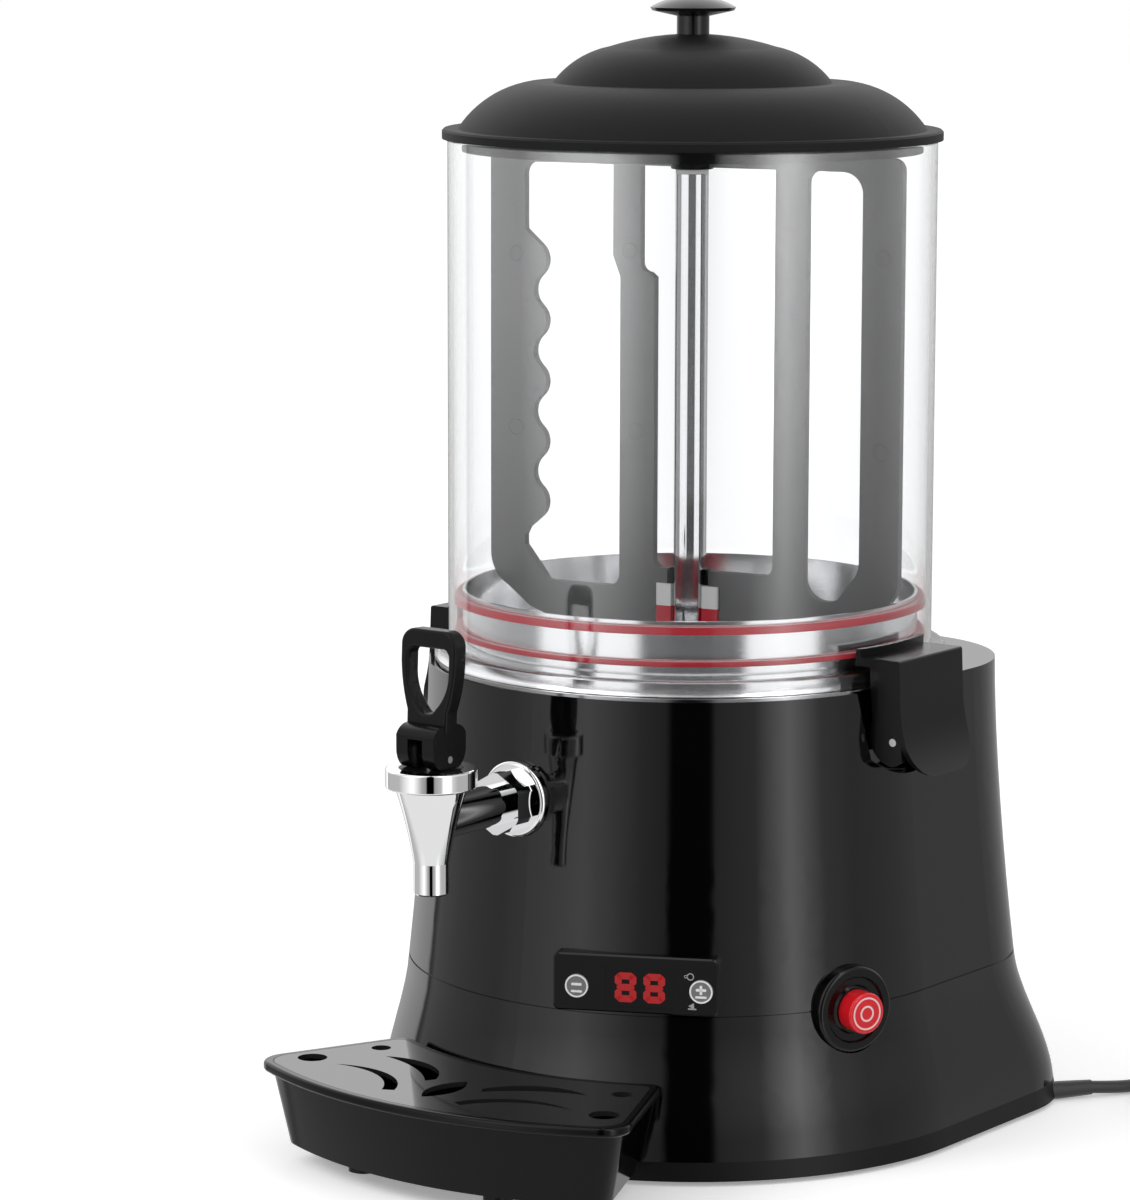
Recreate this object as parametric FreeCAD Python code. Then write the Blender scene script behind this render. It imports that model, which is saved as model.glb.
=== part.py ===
import FreeCAD, Part
import math
import os

V = FreeCAD.Vector

# Hot chocolate dispenser, millimetres, +Z up, front towards -Y.
# Everything is modelled about the bowl's axis; put() moves it so that the middle of the
# footprint is the origin.

os.makedirs("parts", exist_ok=True)

# ---------------------------------------------------------------- driving dimensions
FIT = 0.08              # radial clearance of a running fit
GAP = 0.4               # clearance between pieces that pass each other
SHEET = 1.5             # thickness of stainless sheet parts

# Clear bowl, which sets the size of everything above the base
BOWL_R = 125.4
BOWL_WALL = 3.0
BOWL_H = 268.1
BOWL_FLANGE_W = 7.1
BOWL_FLANGE_T = 8.1

# Housing: a D in plan, round in front, flat at the back, flared at its foot
PAN_Z = 2.5             # underside of the base pan above the floor
PAN_H = 9.5
SKIRT_H = 70.0
SHELL_H = 156.4
DECK_LEDGE = 3.1        # deck outside the bowl's flange, at the front and the sides
DECK_LEDGE_BACK = 3.5   # the same at the back
SHELL_TAPER = 10.7      # how much wider the seam is than the deck, at the front and sides
SHELL_TAPER_BACK = 6.3
SKIRT_FLARE = 13.7      # how much wider the skirt's foot is than the seam
SKIRT_FLARE_BACK = 14.7
PAN_FLARE = 1.5
PAN_FLARE_BACK = 1.0
REAR_CORNER = 75.0      # plan radius of the two rear corners, from the seam up
FOOT_CORNER = 68.0      # the same at the skirt's foot and round the pan
SKIRT_SWEEP = 0.7       # how much of the skirt's flare is an S curve
SHELL_EASE = 1.55       # how early the upper shell's taper happens
SHELL_WALL = 3.0
PAN_WALL = 3.0
PAN_FLOOR = 2.5
SEAM_FLANGE = 6.0       # inward flange of the skirt at the seam
SEAM_GROOVE = 0.9       # height and depth of the shadow line at the seam

# Feet and base screws
FOOT_R = 12.0
FOOT_STEM_R = 4.0
FOOT_INSET = 56.5       # from the pan's side
FOOT_INSET_BACK = 38.0
FOOT_FRONT = 85.0
SCREW_R = 2.0
SCREW_HEAD_R = 4.0
BOSS_STEP = 24.0        # screw bosses from the feet
BOSS_R = 6.0
BOSS_H = 48.0

# Vents in the back of the upper shell
VENT_COUNT = 9
VENT_PITCH = 14.0
VENT_W = 5.0
VENT_H = 60.0
VENT_RISE = 73.0        # middle of the vents above the seam

# Vessel, gasket and water bath
GASKET_GAP = 4.4        # between the vessel and the bowl
VESSEL_RISE = 37.6      # rim above the deck
VESSEL_DEPTH = 28.0     # floor below the rim
VESSEL_DISH = 3.0       # fall of the floor from the wall to the standpipe
VESSEL_KNUCKLE = 4.0
VESSEL_FLANGE = 13.0    # width of the flange that hangs on the deck
FLANGE_T = 1.0
BATH_DEPTH = 70.4
BATH_WALL = 1.2
GASKET_HIGH_T = 3.9     # height of the upper seal ring
GASKET_LOW_T = 2.6
GASKET_PITCH = 14.0     # from the foot of the lower ring to that of the upper
GASKET_DROP = 7.6       # upper ring's foot under the vessel's rim
SUMP_Y = 88.0           # sump in front of the axis
SUMP_R = 17.0
SUMP_RISE = 3.0         # sump's underside above the bath's floor
GASKET_ROOM = 12.0      # from the sump pipe's mouth to the flange's seat

# Lid
LID_OVERHANG = 2.8
LID_RIM_T = 5.0
LID_LIP_GAP = 4.4
LID_LIP_DEPTH = 6.0
LID_WALL = 2.8
LID_STEP = 8.2          # flat edge outside the dome
LID_CREASE_R = 71.5
LID_CREASE_RISE = 28.5  # crease above the bowl's top
LID_DOME_RISE = 53.1    # top of the dome above the bowl's top
KNOB_STEM_R = 8.3
KNOB_STEM_H = 9.0
KNOB_R = 21.9
KNOB_DISC_H = 4.4
KNOB_DOME_H = 6.0
LID_SCREW_R = 2.5
LID_SCREW_L = 12.0

# Standpipe, shaft and drive
PIPE_R = 8.5
PIPE_WALL = 2.0
PIPE_TOP_GAP = 3.5      # under the paddle's top bar
SHAFT_R = 4.0
BUSH_L = 14.0
GEARBOX_X = 86.0
GEARBOX_Y = 66.0
GEARBOX_H = 38.0
MOTOR_R = 30.0
MOTOR_H = 62.0
MOTOR_DROP = 18.0       # motor bracket under the bath
BRACKET_T = 3.0
BRACKET_X = 84.0        # half width of the motor bracket
BRACKET_Y = 76.0

# Heater, thermostat, terminal block
HEATER_INSET = 23.0     # from the bath's wall
HEATER_TUBE_R = 4.0
HEATER_RISE = 12.0
HEATER_GAP_DEG = 60.0
THERMO_R = 9.0
THERMO_H = 8.0
TERMINAL_L = 44.0
TERMINAL_W = 20.0
TERMINAL_H = 18.0
TERMINAL_WAYS = 4

# Paddle, a flat plate in an upright plane through the axis
PADDLE_TURN = 9.6       # plan angle of the plate at rest
PADDLE_T = 5.0
PADDLE_GAP = 5.8        # from the bowl's wall
PADDLE_HEADROOM = 1.0   # plate's top edge under the lid's lip
PADDLE_FOOT = 6.6       # plate's bottom edge above the vessel's floor
PADDLE_BAR = 7.5        # height of the top bar
PADDLE_SILL_H = 18.9    # outer windows above the plate's bottom edge
PADDLE_SILL_IN_H = 30.0 # window round the pipe
PADDLE_ROUND = 6.0      # radius of the windows' corners
BAR_OUT = 20.8          # width of the two outer bars where they are straight
BAR_WAVY = 30.0         # mean width of the wavy stretch
WAVE_AMP = 3.7
WAVE_COUNT = 5
WAVE_DROP = 42.5        # first wave under the plate's top edge
WAVE_RISE = 44.2        # last wave above the plate's bottom edge
POST_EDGE = 20.0        # left post's edge beside the pipe, from the axis
POST_W = 19.7
POST_SETBACK = 8.0      # upper part of the post is that much further from the pipe
POST_SETBACK_W = 15.9   # and this wide
POST_STEP_H = 11.0
POST_STEP_DROP = 47.0   # step under the top bar
RIGHT_POST = 48.0       # right post's inner edge from the axis
RIGHT_POST_W = 17.7
WINDOW_HEAD = 11.0      # radius of the right window's outer top corner
HUB_R = 11.0
BOSS_R = 7.0            # boss of the plate round the shaft, inside the hub
HUB_SKIRT = 2.0         # how far the hub reaches down round the pipe
NUT_R = 9.0
NUT_H = 5.0
SHAFT_PROUD = 5.5       # shaft end above the plate
COLLAR_R = 12.0
COLLAR_H = 8.5
COLLAR_RISE = 22.2      # collar above the plate's bottom edge
BLOCK_W = 8.7           # guide blocks and wiper tips beside the pipe
BLOCK_T = 9.0
BLOCK_H = 11.5
WIPER_H = 18.3

# Tap, upright in front of the housing
TAP_X = -8.0            # tap's axis beside the middle
TAP_REACH = 71.4        # tap's axis in front of the deck's edge
TAP_RISE = 16.4         # shank above the bath's floor
SPOUT_R = 8.8
SPOUT_DROP = 36.3       # spout's mouth below the shank
SPOUT_BORE = 5.6
SPOUT_H = 15.6          # straight part of the spout
TAP_BODY_R = 17.8
TAP_BODY_RISE = 16.7    # body's top above the shank
TAP_MID_R = 12.5        # body's radius at half its taper
SEAT_DROP = 10.0        # seal's seat below the shank
SHANK_R = 10.5
SHANK_BORE = 6.0
THREAD_R = 8.0
TAP_FLANGE_R = 19.3
TAP_FLANGE_T = 6.0
SEAT_PROUD = 0.9        # flange's seat outside the housing at its edge
TAP_NUT_R = 16.5
TAP_NUT_L = 14.0
RING_R = 22.6           # collar that holds the bonnet
RING_H = 9.9
RING_EDGE = 1.2         # rounding of its edges
BONNET_R = 16.0
BONNET_NECK_R = 12.5
STEM_R = 3.2
PIN_R = 1.75
SEAL_R = 8.6
SEAL_H = 9.0
SPRING_WIRE = 0.8       # half the side of its square wire
SPRING_R = 6.0
SPRING_TURNS = 4
CAM_LOW = 4.8           # pin above the cam's flat foot
CAM_RISE = 5.1          # lift of the pin, mm per radian of the handle's turn
HANDLE_H = 63.0         # handle's top above the pin
HANDLE_W = 33.5
HANDLE_T = 9.6
HANDLE_BAR = 9.0
HANDLE_LIMB = 4.3
HANDLE_CORNER = 8.0
HANDLE_WAIST_W = 24.6
HANDLE_WAIST_H = 23.0
HANDLE_SHOULDER_H = 24.0 # full width above the waist
HANDLE_ROUND = 1.5      # rounding of the loop's edges
HANDLE_LEAN = 2.5       # degrees that the loop leans back
EYE_FOOT_H = 21.4       # bottom of the finger eye above the pin
EYE_FOOT_R = 5.0
FORK_W = 23.0
FORK_SLOT = 9.0
FORK_H = 17.0

# Latches at +X and -X
LATCH_HALF = 29.5       # half length along Y
LATCH_STAND = 12.4      # outer face outside the deck's edge, at its top
LATCH_CLEAR = 2.9       # roof above the bowl's flange
LATCH_ROOF = 4.6
LATCH_PLATE = 2.8
LATCH_H = 59.0
LATCH_KICK = 11.5       # how far the finger tip stands out from the top
LATCH_LIP = 4.0         # height of the lip beside the bowl
LATCH_LIP_T = 2.5
LATCH_CHEEK = 3.0
LATCH_CHEEK_INSET = 4.6 # cheeks' inner edge inside the deck's edge
LATCH_CORNER = 18.0
LATCH_PIN_INSET = 3.2
LATCH_PIN_DROP = 24.6   # pin below the deck
LATCH_PIN_R = 2.0
LATCH_CAM_R = 12.5
POCKET_INSET = 11.1     # floor of the pocket inside the deck's edge
POCKET_FLARE = 8.5      # how much wider the pocket's mouth is than its lower end
POCKET_SIDE = 1.5       # pocket's side clearance at its lower end
POCKET_MID_DROP = 34.4
POCKET_DROP = 44.9
BRACKET_HALF = 24.0
BRACKET_WALL = 3.0

# Control panel, a flat-faced bezel turned to the right of the front
PANEL_TURN = 25.0
PANEL_PROUD = 1.7       # its face in front of the seam
PANEL_HALF = 41.6
PANEL_RISE = 2.0        # above the seam
PANEL_H = 29.0
PANEL_DEPTH = 14.0
PANEL_CORNER = 3.0
PANEL_RIM = 3.0         # shell left standing behind the bezel's edge
BUTTON_R = 6.0
BUTTON_LEFT = -29.3
BUTTON_RIGHT = 33.3
BUTTON_RISE = 12.8
BUTTON_PROUD = 1.4
BUTTON_TRAVEL = 1.2
BUTTON_L = 7.0
BUTTON_STEM_R = 2.0
LENS_MID = 2.0
LENS_HALF = 17.0
LENS_RISE = 2.8
LENS_H = 20.6
LENS_T = 2.0
BOARD_T = 1.6
BOARD_INSET = 1.3       # board's ends inside the bezel's
BOARD_H = 24.0
BOARD_DEPTH = 17.0      # board's face behind the panel's face

# Power switch, seated across the seam
SWITCH_TURN = 69.0
SWITCH_RISE = -0.5      # above the seam
SWITCH_R = 22.0
SWITCH_SINK = 2.8       # bezel's seat inside the seam's outline
SWITCH_T = 7.0
SWITCH_BARREL_R = 15.0
SWITCH_DEPTH = 24.0
SWITCH_KNOB_R = 10.5
SWITCH_KNOB_PROUD = 9.5
SWITCH_TRAVEL = 3.0

# Drip tray
TRAY_REACH = 84.5       # front of the tray in front of the base pan
TRAY_ARC = 226.0        # plan radius of the front
TRAY_GAP = 3.4          # between the tray's rim and the skirt
TRAY_HALF = 109.0       # half width where TRAY_SIDE says
TRAY_SIDE = 46.0        # distance behind the tray's front
TRAY_SIDE_DEG = 23.9    # each side leans in towards the back
TRAY_CORNER = 15.0
TRAY_REAR_CORNER = 8.0
TRAY_TOP = 51.0
TRAY_RIM_W = 4.0
TRAY_RIM_T = 5.0
TRAY_OVERHANG = 4.0     # rim outside the wall under it
TRAY_DRAFT = 7.0        # how far the wall leans in towards its foot
TRAY_CORNER_EASE = 0.3  # how fast the corners' radius shrinks inwards
TRAY_ROLL = 1.8         # rounding of the rim
TRAY_WALL = 2.0
TRAY_FOOT = 9.6         # underside of the tray above the floor
GRID_T = 2.5
GRID_GAP = 0.3
TONGUE_X = 42.0         # tongues of the base pan under the tray
TONGUE_W = 14.0
TONGUE_T = 4.0
TONGUE_SHORT = 20.0     # tongues end behind the tray's front

# Mains lead
CORD_D = 6.8
CORD_FLOOR = 3.5        # height of its centre line when it lies on the floor
EXIT_Z = 5.2
EXIT_DEG = 55.0         # plan direction in which it leaves
EXIT_SITE_DEG = 26.8    # where on the rear right corner it leaves
RELIEF_L = 20.0
RELIEF_IN = 12.0
RELIEF_ROOT_R = 4.7
RELIEF_TIP_R = 4.0
COIL_TURN_R = 40.0      # radius at the middle of the turns
COIL_COLUMNS = 3
COIL_LAYERS = 2
COIL_ENTRY = (194.8, 191.0)   # where the lead runs into the outer turn
COIL_ENTRY_DEG = 62.0
PLUG_AT = (284.2, 119.0)      # middle of the plug's cord end
PLUG_R = 18.5
PLUG_L = 36.0
PLUG_PIN_R = 2.4
PLUG_PIN_L = 19.0
PLUG_PIN_PITCH = 19.0

# ---------------------------------------------------------------- worked out from them
SKIRT_Z = PAN_Z + PAN_H
SEAM_Z = SKIRT_Z + SKIRT_H
DECK_Z = SEAM_Z + SHELL_H
BOWL_INNER = BOWL_R - BOWL_WALL
BOWL_FLANGE_R = BOWL_R + BOWL_FLANGE_W
BOWL_Z = DECK_Z + FLANGE_T
BOWL_TOP = BOWL_Z + BOWL_H
DECK_HALF = BOWL_FLANGE_R + DECK_LEDGE
SEAM_HALF = DECK_HALF + SHELL_TAPER
SKIRT_HALF = SEAM_HALF + SKIRT_FLARE
PAN_HALF = SKIRT_HALF + PAN_FLARE
DECK_BACK = BOWL_FLANGE_R + DECK_LEDGE_BACK
SEAM_BACK = DECK_BACK + SHELL_TAPER_BACK
SKIRT_BACK = SEAM_BACK + SKIRT_FLARE_BACK
PAN_BACK = SKIRT_BACK + PAN_FLARE_BACK
PAN_TOP = PAN_Z + PAN_FLOOR

VESSEL_R = BOWL_INNER - GASKET_GAP
VESSEL_TOP = DECK_Z + VESSEL_RISE
VESSEL_FLOOR = VESSEL_TOP - VESSEL_DEPTH
GASKET_HIGH_Z = VESSEL_TOP - GASKET_DROP
GASKET_LOW_Z = GASKET_HIGH_Z - GASKET_PITCH
BATH_Z = DECK_Z - BATH_DEPTH
HEATER_R = VESSEL_R - HEATER_INSET
BRACKET_Z = BATH_Z - MOTOR_DROP

LID_R = BOWL_R + LID_OVERHANG
LID_LIP_R = BOWL_INNER - LID_LIP_GAP
LID_SHOULDER_R = LID_R - LID_STEP

PADDLE_HALF = BOWL_INNER - PADDLE_GAP
PADDLE_TOP = BOWL_TOP - LID_LIP_DEPTH - PADDLE_HEADROOM
PADDLE_BOTTOM = VESSEL_FLOOR + PADDLE_FOOT
PADDLE_SILL = PADDLE_BOTTOM + PADDLE_SILL_H
PADDLE_SILL_IN = PADDLE_BOTTOM + PADDLE_SILL_IN_H
WAVE_TOP = PADDLE_TOP - WAVE_DROP
WAVE_BOTTOM = PADDLE_BOTTOM + WAVE_RISE
WAVE_PITCH = (WAVE_TOP - WAVE_BOTTOM) / WAVE_COUNT
WAVE_MID = PADDLE_HALF - BAR_WAVY
PIPE_TOP = PADDLE_TOP - PADDLE_BAR - PIPE_TOP_GAP
HUB_Z = PIPE_TOP - HUB_SKIRT
COLLAR_Z = PADDLE_BOTTOM + COLLAR_RISE
BLOCK_Z = COLLAR_Z - BLOCK_H
BLOCK_OUT = PIPE_R + GAP + BLOCK_W
WIPER_Z = BLOCK_Z - WIPER_H

TAP_Y = DECK_HALF + TAP_REACH
TAP_Z = BATH_Z + TAP_RISE
SPOUT_Z = TAP_Z - SPOUT_DROP
SEAT_Z = TAP_Z - SEAT_DROP
SEAL_TOP = SEAT_Z + SEAL_H
CHAMBER_R = SEAL_R + GAP
TAP_BODY_TOP = TAP_Z + TAP_BODY_RISE
BONNET_TOP = TAP_BODY_TOP + RING_H
PIN_Z = BONNET_TOP + CAM_LOW + GAP / 2
HANDLE_TOP = PIN_Z + HANDLE_H
HANDLE_WAIST_Z = PIN_Z + HANDLE_WAIST_H
EYE_FOOT_Z = PIN_Z + EYE_FOOT_H
FORK_TOP = PIN_Z + FORK_H

LATCH_X = DECK_HALF + LATCH_STAND
LATCH_TIP_X = LATCH_X + LATCH_KICK
LATCH_CHEEK_X = DECK_HALF - LATCH_CHEEK_INSET
LATCH_ROOF_Z = BOWL_Z + BOWL_FLANGE_T + LATCH_CLEAR
LATCH_TOP = LATCH_ROOF_Z + LATCH_ROOF
LATCH_TIP_Z = LATCH_TOP - LATCH_H
LATCH_PIN_X = LATCH_X - LATCH_PIN_INSET
LATCH_PIN_Z = DECK_Z - LATCH_PIN_DROP
POCKET_X = DECK_HALF - POCKET_INSET
POCKET_HALF = LATCH_HALF + POCKET_SIDE
POCKET_MID_Z = DECK_Z - POCKET_MID_DROP
POCKET_Z = DECK_Z - POCKET_DROP

PANEL_FACE = SEAM_HALF + PANEL_PROUD
PANEL_Z = SEAM_Z + PANEL_RISE
BUTTON_Z = PANEL_Z + BUTTON_RISE
LENS_Z = PANEL_Z + LENS_RISE
SWITCH_Z = SEAM_Z + SWITCH_RISE
SWITCH_BACK = SEAM_HALF - SWITCH_SINK
SWITCH_KNOB_FACE = SWITCH_BACK + SWITCH_T + SWITCH_KNOB_PROUD

TRAY_FRONT = PAN_HALF + TRAY_REACH
TRAY_SIDE_Y = TRAY_FRONT - TRAY_SIDE
TONGUE_REACH = TRAY_FRONT - TONGUE_SHORT
FOOT_X = PAN_HALF - FOOT_INSET
FOOT_BACK = PAN_BACK - FOOT_INSET_BACK
AXIS_Y = (TRAY_FRONT - PAN_BACK) / 2  # bowl's axis behind the middle of the footprint

# ---------------------------------------------------------------- shared geometry


def put(name, shape):
    """Moves a finished piece into the part's frame and writes it."""
    placed = shape.copy()
    placed.translate(V(0, AXIS_Y, 0))
    if not placed.isValid():
        print("not valid:", name)
    print(name, len(placed.Solids), round(placed.Volume / 1000, 2), "cm3")
    placed.exportStep("parts/" + name + ".step")


def cyl(radius, z0, z1, x=0.0, y=0.0):
    return Part.makeCylinder(radius, z1 - z0, V(x, y, z0))


def tube(outer, inner, z0, z1, x=0.0, y=0.0):
    return cyl(outer, z0, z1, x, y).cut(cyl(inner, z0 - 1, z1 + 1, x, y))


def rod(radius, start, end):
    """Round bar between two points."""
    along = V(*end) - V(*start)
    return Part.makeCylinder(radius, along.Length, V(*start), along)


def cone_rod(r0, r1, start, end):
    along = V(*end) - V(*start)
    return Part.makeCone(r0, r1, along.Length, V(*start), along)


def box(x0, x1, y0, y1, z0, z1):
    return Part.makeBox(x1 - x0, y1 - y0, z1 - z0, V(x0, y0, z0))


def path(points):
    """Wire through points; a group of three in a list is an arc from the point before it."""
    edges = []
    here = V(*points[0])
    for item in points[1:]:
        if isinstance(item, list):
            mid, end = V(*item[0]), V(*item[1])
            edges.append(Part.Arc(here, mid, end).toShape())
        else:
            end = V(*item)
            if not end.isEqual(here, 1e-6):
                edges.append(Part.makeLine(here, end))
        here = end
    return Part.Wire(edges)


def upright(points):
    """Closed profile in the X-Z plane from (x, z) pairs; arcs are lists of two pairs."""
    spread = []
    for item in points + [points[0]]:
        if isinstance(item, list):
            spread.append([(p[0], 0, p[1]) for p in item])
        else:
            spread.append((item[0], 0, item[1]))
    return Part.Face(path(spread))


def flat(points, z):
    """Closed profile at height z from (x, y) pairs; arcs are lists of two pairs."""
    spread = []
    for item in points + [points[0]]:
        if isinstance(item, list):
            spread.append([(p[0], p[1], z) for p in item])
        else:
            spread.append((item[0], item[1], z))
    return Part.Face(path(spread))


def turned(points, x=0.0, y=0.0):
    """Solid of revolution about an upright axis from an (r, z) profile."""
    solid = upright(points).revolve(V(0, 0, 0), V(0, 0, 1), 360)
    solid.translate(V(x, y, 0))
    return solid


def swung(shape, degrees):
    """Turns a shape about the bowl's axis; what faces the front then faces that way."""
    turned_shape = shape.copy()
    turned_shape.rotate(V(0, 0, 0), V(0, 0, 1), degrees)
    return turned_shape


def cap_arc(radius, z, height):
    """Shallow round cap on the axis: middle and end of its arc from (radius, z)."""
    ball = (radius * radius + height * height) / (2 * height)
    half_turn = math.asin(radius / ball) / 2
    centre = z + height - ball
    return [(ball * math.sin(half_turn), centre + ball * math.cos(half_turn)), (0, z + height)]


def mirrored(shape):
    return shape.mirror(V(0, 0, 0), V(1, 0, 0))



def upright_edges(shape, test):
    """Straight upright edges that pass the test on their middle."""
    found = []
    for edge in shape.Edges:
        ends = edge.Vertexes
        if len(ends) == 2 and abs(ends[0].Z - ends[1].Z) > 0.5:
            flat_run = math.hypot(ends[0].X - ends[1].X, ends[0].Y - ends[1].Y)
            if flat_run < 1e-6 and test(ends[0].Point):
                found.append(edge)
    return found


# ---------------------------------------------------------------- housing


def outline(z):
    """Half width, rear distance and rear corner's radius of the housing at height z."""
    if z <= SKIRT_Z:
        share = (z - PAN_Z) / (SKIRT_Z - PAN_Z)
        low, high = (PAN_HALF, PAN_BACK, FOOT_CORNER), (SKIRT_HALF, SKIRT_BACK, FOOT_CORNER)
    elif z <= SEAM_Z:
        run = (z - SKIRT_Z) / (SEAM_Z - SKIRT_Z)
        share = run + SKIRT_SWEEP * (run * run * (3 - 2 * run) - run)
        low, high = (SKIRT_HALF, SKIRT_BACK, FOOT_CORNER), (SEAM_HALF, SEAM_BACK, REAR_CORNER)
    else:
        run = (z - SEAM_Z) / (DECK_Z - SEAM_Z)
        share = 1 - (1 - run) ** SHELL_EASE
        low, high = (SEAM_HALF, SEAM_BACK, REAR_CORNER), (DECK_HALF, DECK_BACK, REAR_CORNER)
    return [a + (b - a) * share for a, b in zip(low, high)]


def plan_wire(z, inset=0.0):
    """The D-shaped plan at height z, drawn in by inset."""
    half, back, corner = [size - inset for size in outline(z)]
    side = back - corner
    bend = corner * math.sqrt(0.5)
    diagonal = half * math.sqrt(0.5)
    inner = half - corner
    return path([
        (-half, 0, z), [(-diagonal, -diagonal, z), (0, -half, z)],
        [(diagonal, -diagonal, z), (half, 0, z)], (half, side, z),
        [(inner + bend, side + bend, z), (inner, back, z)], (-inner, back, z),
        [(-inner - bend, side + bend, z), (-half, side, z)], (-half, 0, z)])


def stack(z_low, z_high, inset, levels):
    """Solid D-shaped loft between two heights."""
    wires = []
    for i in range(levels + 1):
        wires.append(plan_wire(z_low + (z_high - z_low) * i / levels, inset))
    return Part.makeLoft(wires, True, levels == 1)


def pan_outer():
    return stack(PAN_Z, SKIRT_Z, 0, 1)


def skirt_outer():
    return stack(SKIRT_Z, SEAM_Z, 0, 4)


def shell_outer():
    return stack(SEAM_Z, DECK_Z, 0, 4)


def foot_places():
    return [(x, y) for x in (-FOOT_X, FOOT_X) for y in (-FOOT_FRONT, FOOT_BACK)]


def boss_places():
    return [(x, y) for x in (-FOOT_X, FOOT_X) for y in (BOSS_STEP - FOOT_FRONT, FOOT_BACK - BOSS_STEP)]


def switch_tool(radius, near, far):
    """Cylinder on the power switch's axis, from one distance to another."""
    bar = rod(radius, (0, -near, SWITCH_Z), (0, -far, SWITCH_Z))
    return swung(bar, SWITCH_TURN)


def relief_axis(distance):
    """Point on the cord's exit line, measured outwards from the base pan's surface."""
    site = math.radians(EXIT_SITE_DEG)
    angle = math.radians(EXIT_DEG)
    x = PAN_HALF - FOOT_CORNER + FOOT_CORNER * math.cos(site)
    y = PAN_BACK - FOOT_CORNER + FOOT_CORNER * math.sin(site)
    return (x + distance * math.cos(angle), y + distance * math.sin(angle), EXIT_Z)


def relief_body():
    root = rod(RELIEF_ROOT_R, relief_axis(-RELIEF_IN), relief_axis(2))
    nose = cone_rod(RELIEF_ROOT_R, RELIEF_TIP_R, relief_axis(2), relief_axis(RELIEF_L))
    return root.fuse(nose).removeSplitter()


def base_pan():
    pan = pan_outer()
    pan = pan.cut(stack_inner_pan())
    for x, y in foot_places():
        pan = pan.cut(cyl(FOOT_STEM_R, 0, SKIRT_Z, x, y))
    for x, y in boss_places():
        pan = pan.cut(cyl(SCREW_R, 0, SKIRT_Z, x, y))
    low = TRAY_FOOT - GAP / 2 - TONGUE_T
    for side in (-1, 1):
        tongue = box(side * TONGUE_X - TONGUE_W / 2, side * TONGUE_X + TONGUE_W / 2,
                     -TONGUE_REACH, -PAN_HALF + TONGUE_W, low, low + TONGUE_T)
        tip = upright_edges(tongue, lambda p: p.y < -TONGUE_REACH + 1)
        pan = pan.fuse(tongue.makeFillet(TONGUE_W / 2 - 1, tip))
    pan = pan.cut(rod(RELIEF_ROOT_R, relief_axis(-RELIEF_IN - 5), relief_axis(15)))
    return pan.removeSplitter()


def stack_inner_pan():
    """Hollow of the base pan above its floor."""
    wires = []
    for z, probe in ((PAN_TOP, PAN_TOP), (SKIRT_Z + 1, SKIRT_Z)):
        wire = plan_wire(probe, PAN_WALL)
        wire.translate(V(0, 0, z - probe))
        wires.append(wire)
    return Part.makeLoft(wires, True, True)


def base_skirt():
    skirt = skirt_outer().cut(stack(SKIRT_Z, SEAM_Z - SHELL_WALL, SHELL_WALL, 4))
    mouth = Part.Face(plan_wire(SEAM_Z, SHELL_WALL + SEAM_FLANGE))
    mouth.translate(V(0, 0, -2 * SHELL_WALL))
    skirt = skirt.cut(mouth.extrude(V(0, 0, 3 * SHELL_WALL)))
    for x, y in boss_places():
        top = SKIRT_Z + BOSS_H
        boss = tube(BOSS_R, SCREW_R, PAN_TOP, top, x, y)
        near, far = sorted((math.copysign(abs(x) + BOSS_R - 1, x), math.copysign(SKIRT_HALF, x)))
        rib = box(near, far, y - SHELL_WALL / 2, y + SHELL_WALL / 2, SKIRT_Z, top)
        rib = rib.common(skirt_outer())
        skirt = skirt.fuse([boss, rib])
    skirt = skirt.cut(switch_tool(SWITCH_R + GAP / 2, SWITCH_BACK, SKIRT_HALF + 20))
    skirt = skirt.cut(switch_tool(SWITCH_BARREL_R + GAP, SWITCH_BACK - 30, SWITCH_BACK))
    return skirt.removeSplitter()


def pocket_profile(grow, x0, x1):
    """U-shaped latch pocket seen from the side, run from x0 to x1."""
    top = DECK_Z + 20
    low = POCKET_Z - grow
    mid = POCKET_HALF + grow
    wide = mid + POCKET_FLARE
    face = Part.Face(path([
        (x0, -wide, top), (x0, -wide, DECK_Z), (x0, -mid, POCKET_MID_Z),
        [(x0, 0, low), (x0, mid, POCKET_MID_Z)], (x0, wide, DECK_Z), (x0, wide, top),
        (x0, -wide, top)]))
    return face.extrude(V(x1 - x0, 0, 0))


def panel_window():
    """Opening in the shell behind the control panel."""
    half = PANEL_HALF - PANEL_RIM
    hole = box(-half, half, -PANEL_FACE - 5, -PANEL_FACE + PANEL_HALF,
               PANEL_Z + PANEL_RIM, PANEL_Z + PANEL_H - PANEL_RIM)
    return swung(hole, PANEL_TURN)


def vents():
    slots = []
    middle = SEAM_Z + VENT_RISE
    for i in range(VENT_COUNT):
        x = (i - (VENT_COUNT - 1) / 2) * VENT_PITCH
        slot = box(x - VENT_W / 2, x + VENT_W / 2, DECK_BACK - 15, SEAM_BACK + 5,
                   middle - VENT_H / 2, middle + VENT_H / 2)
        ends = [e for e in slot.Edges if abs(e.Vertexes[0].Y - e.Vertexes[-1].Y) > 1]
        slots.append(slot.makeFillet(VENT_W / 2 - 0.01, ends))
    return slots


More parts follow.
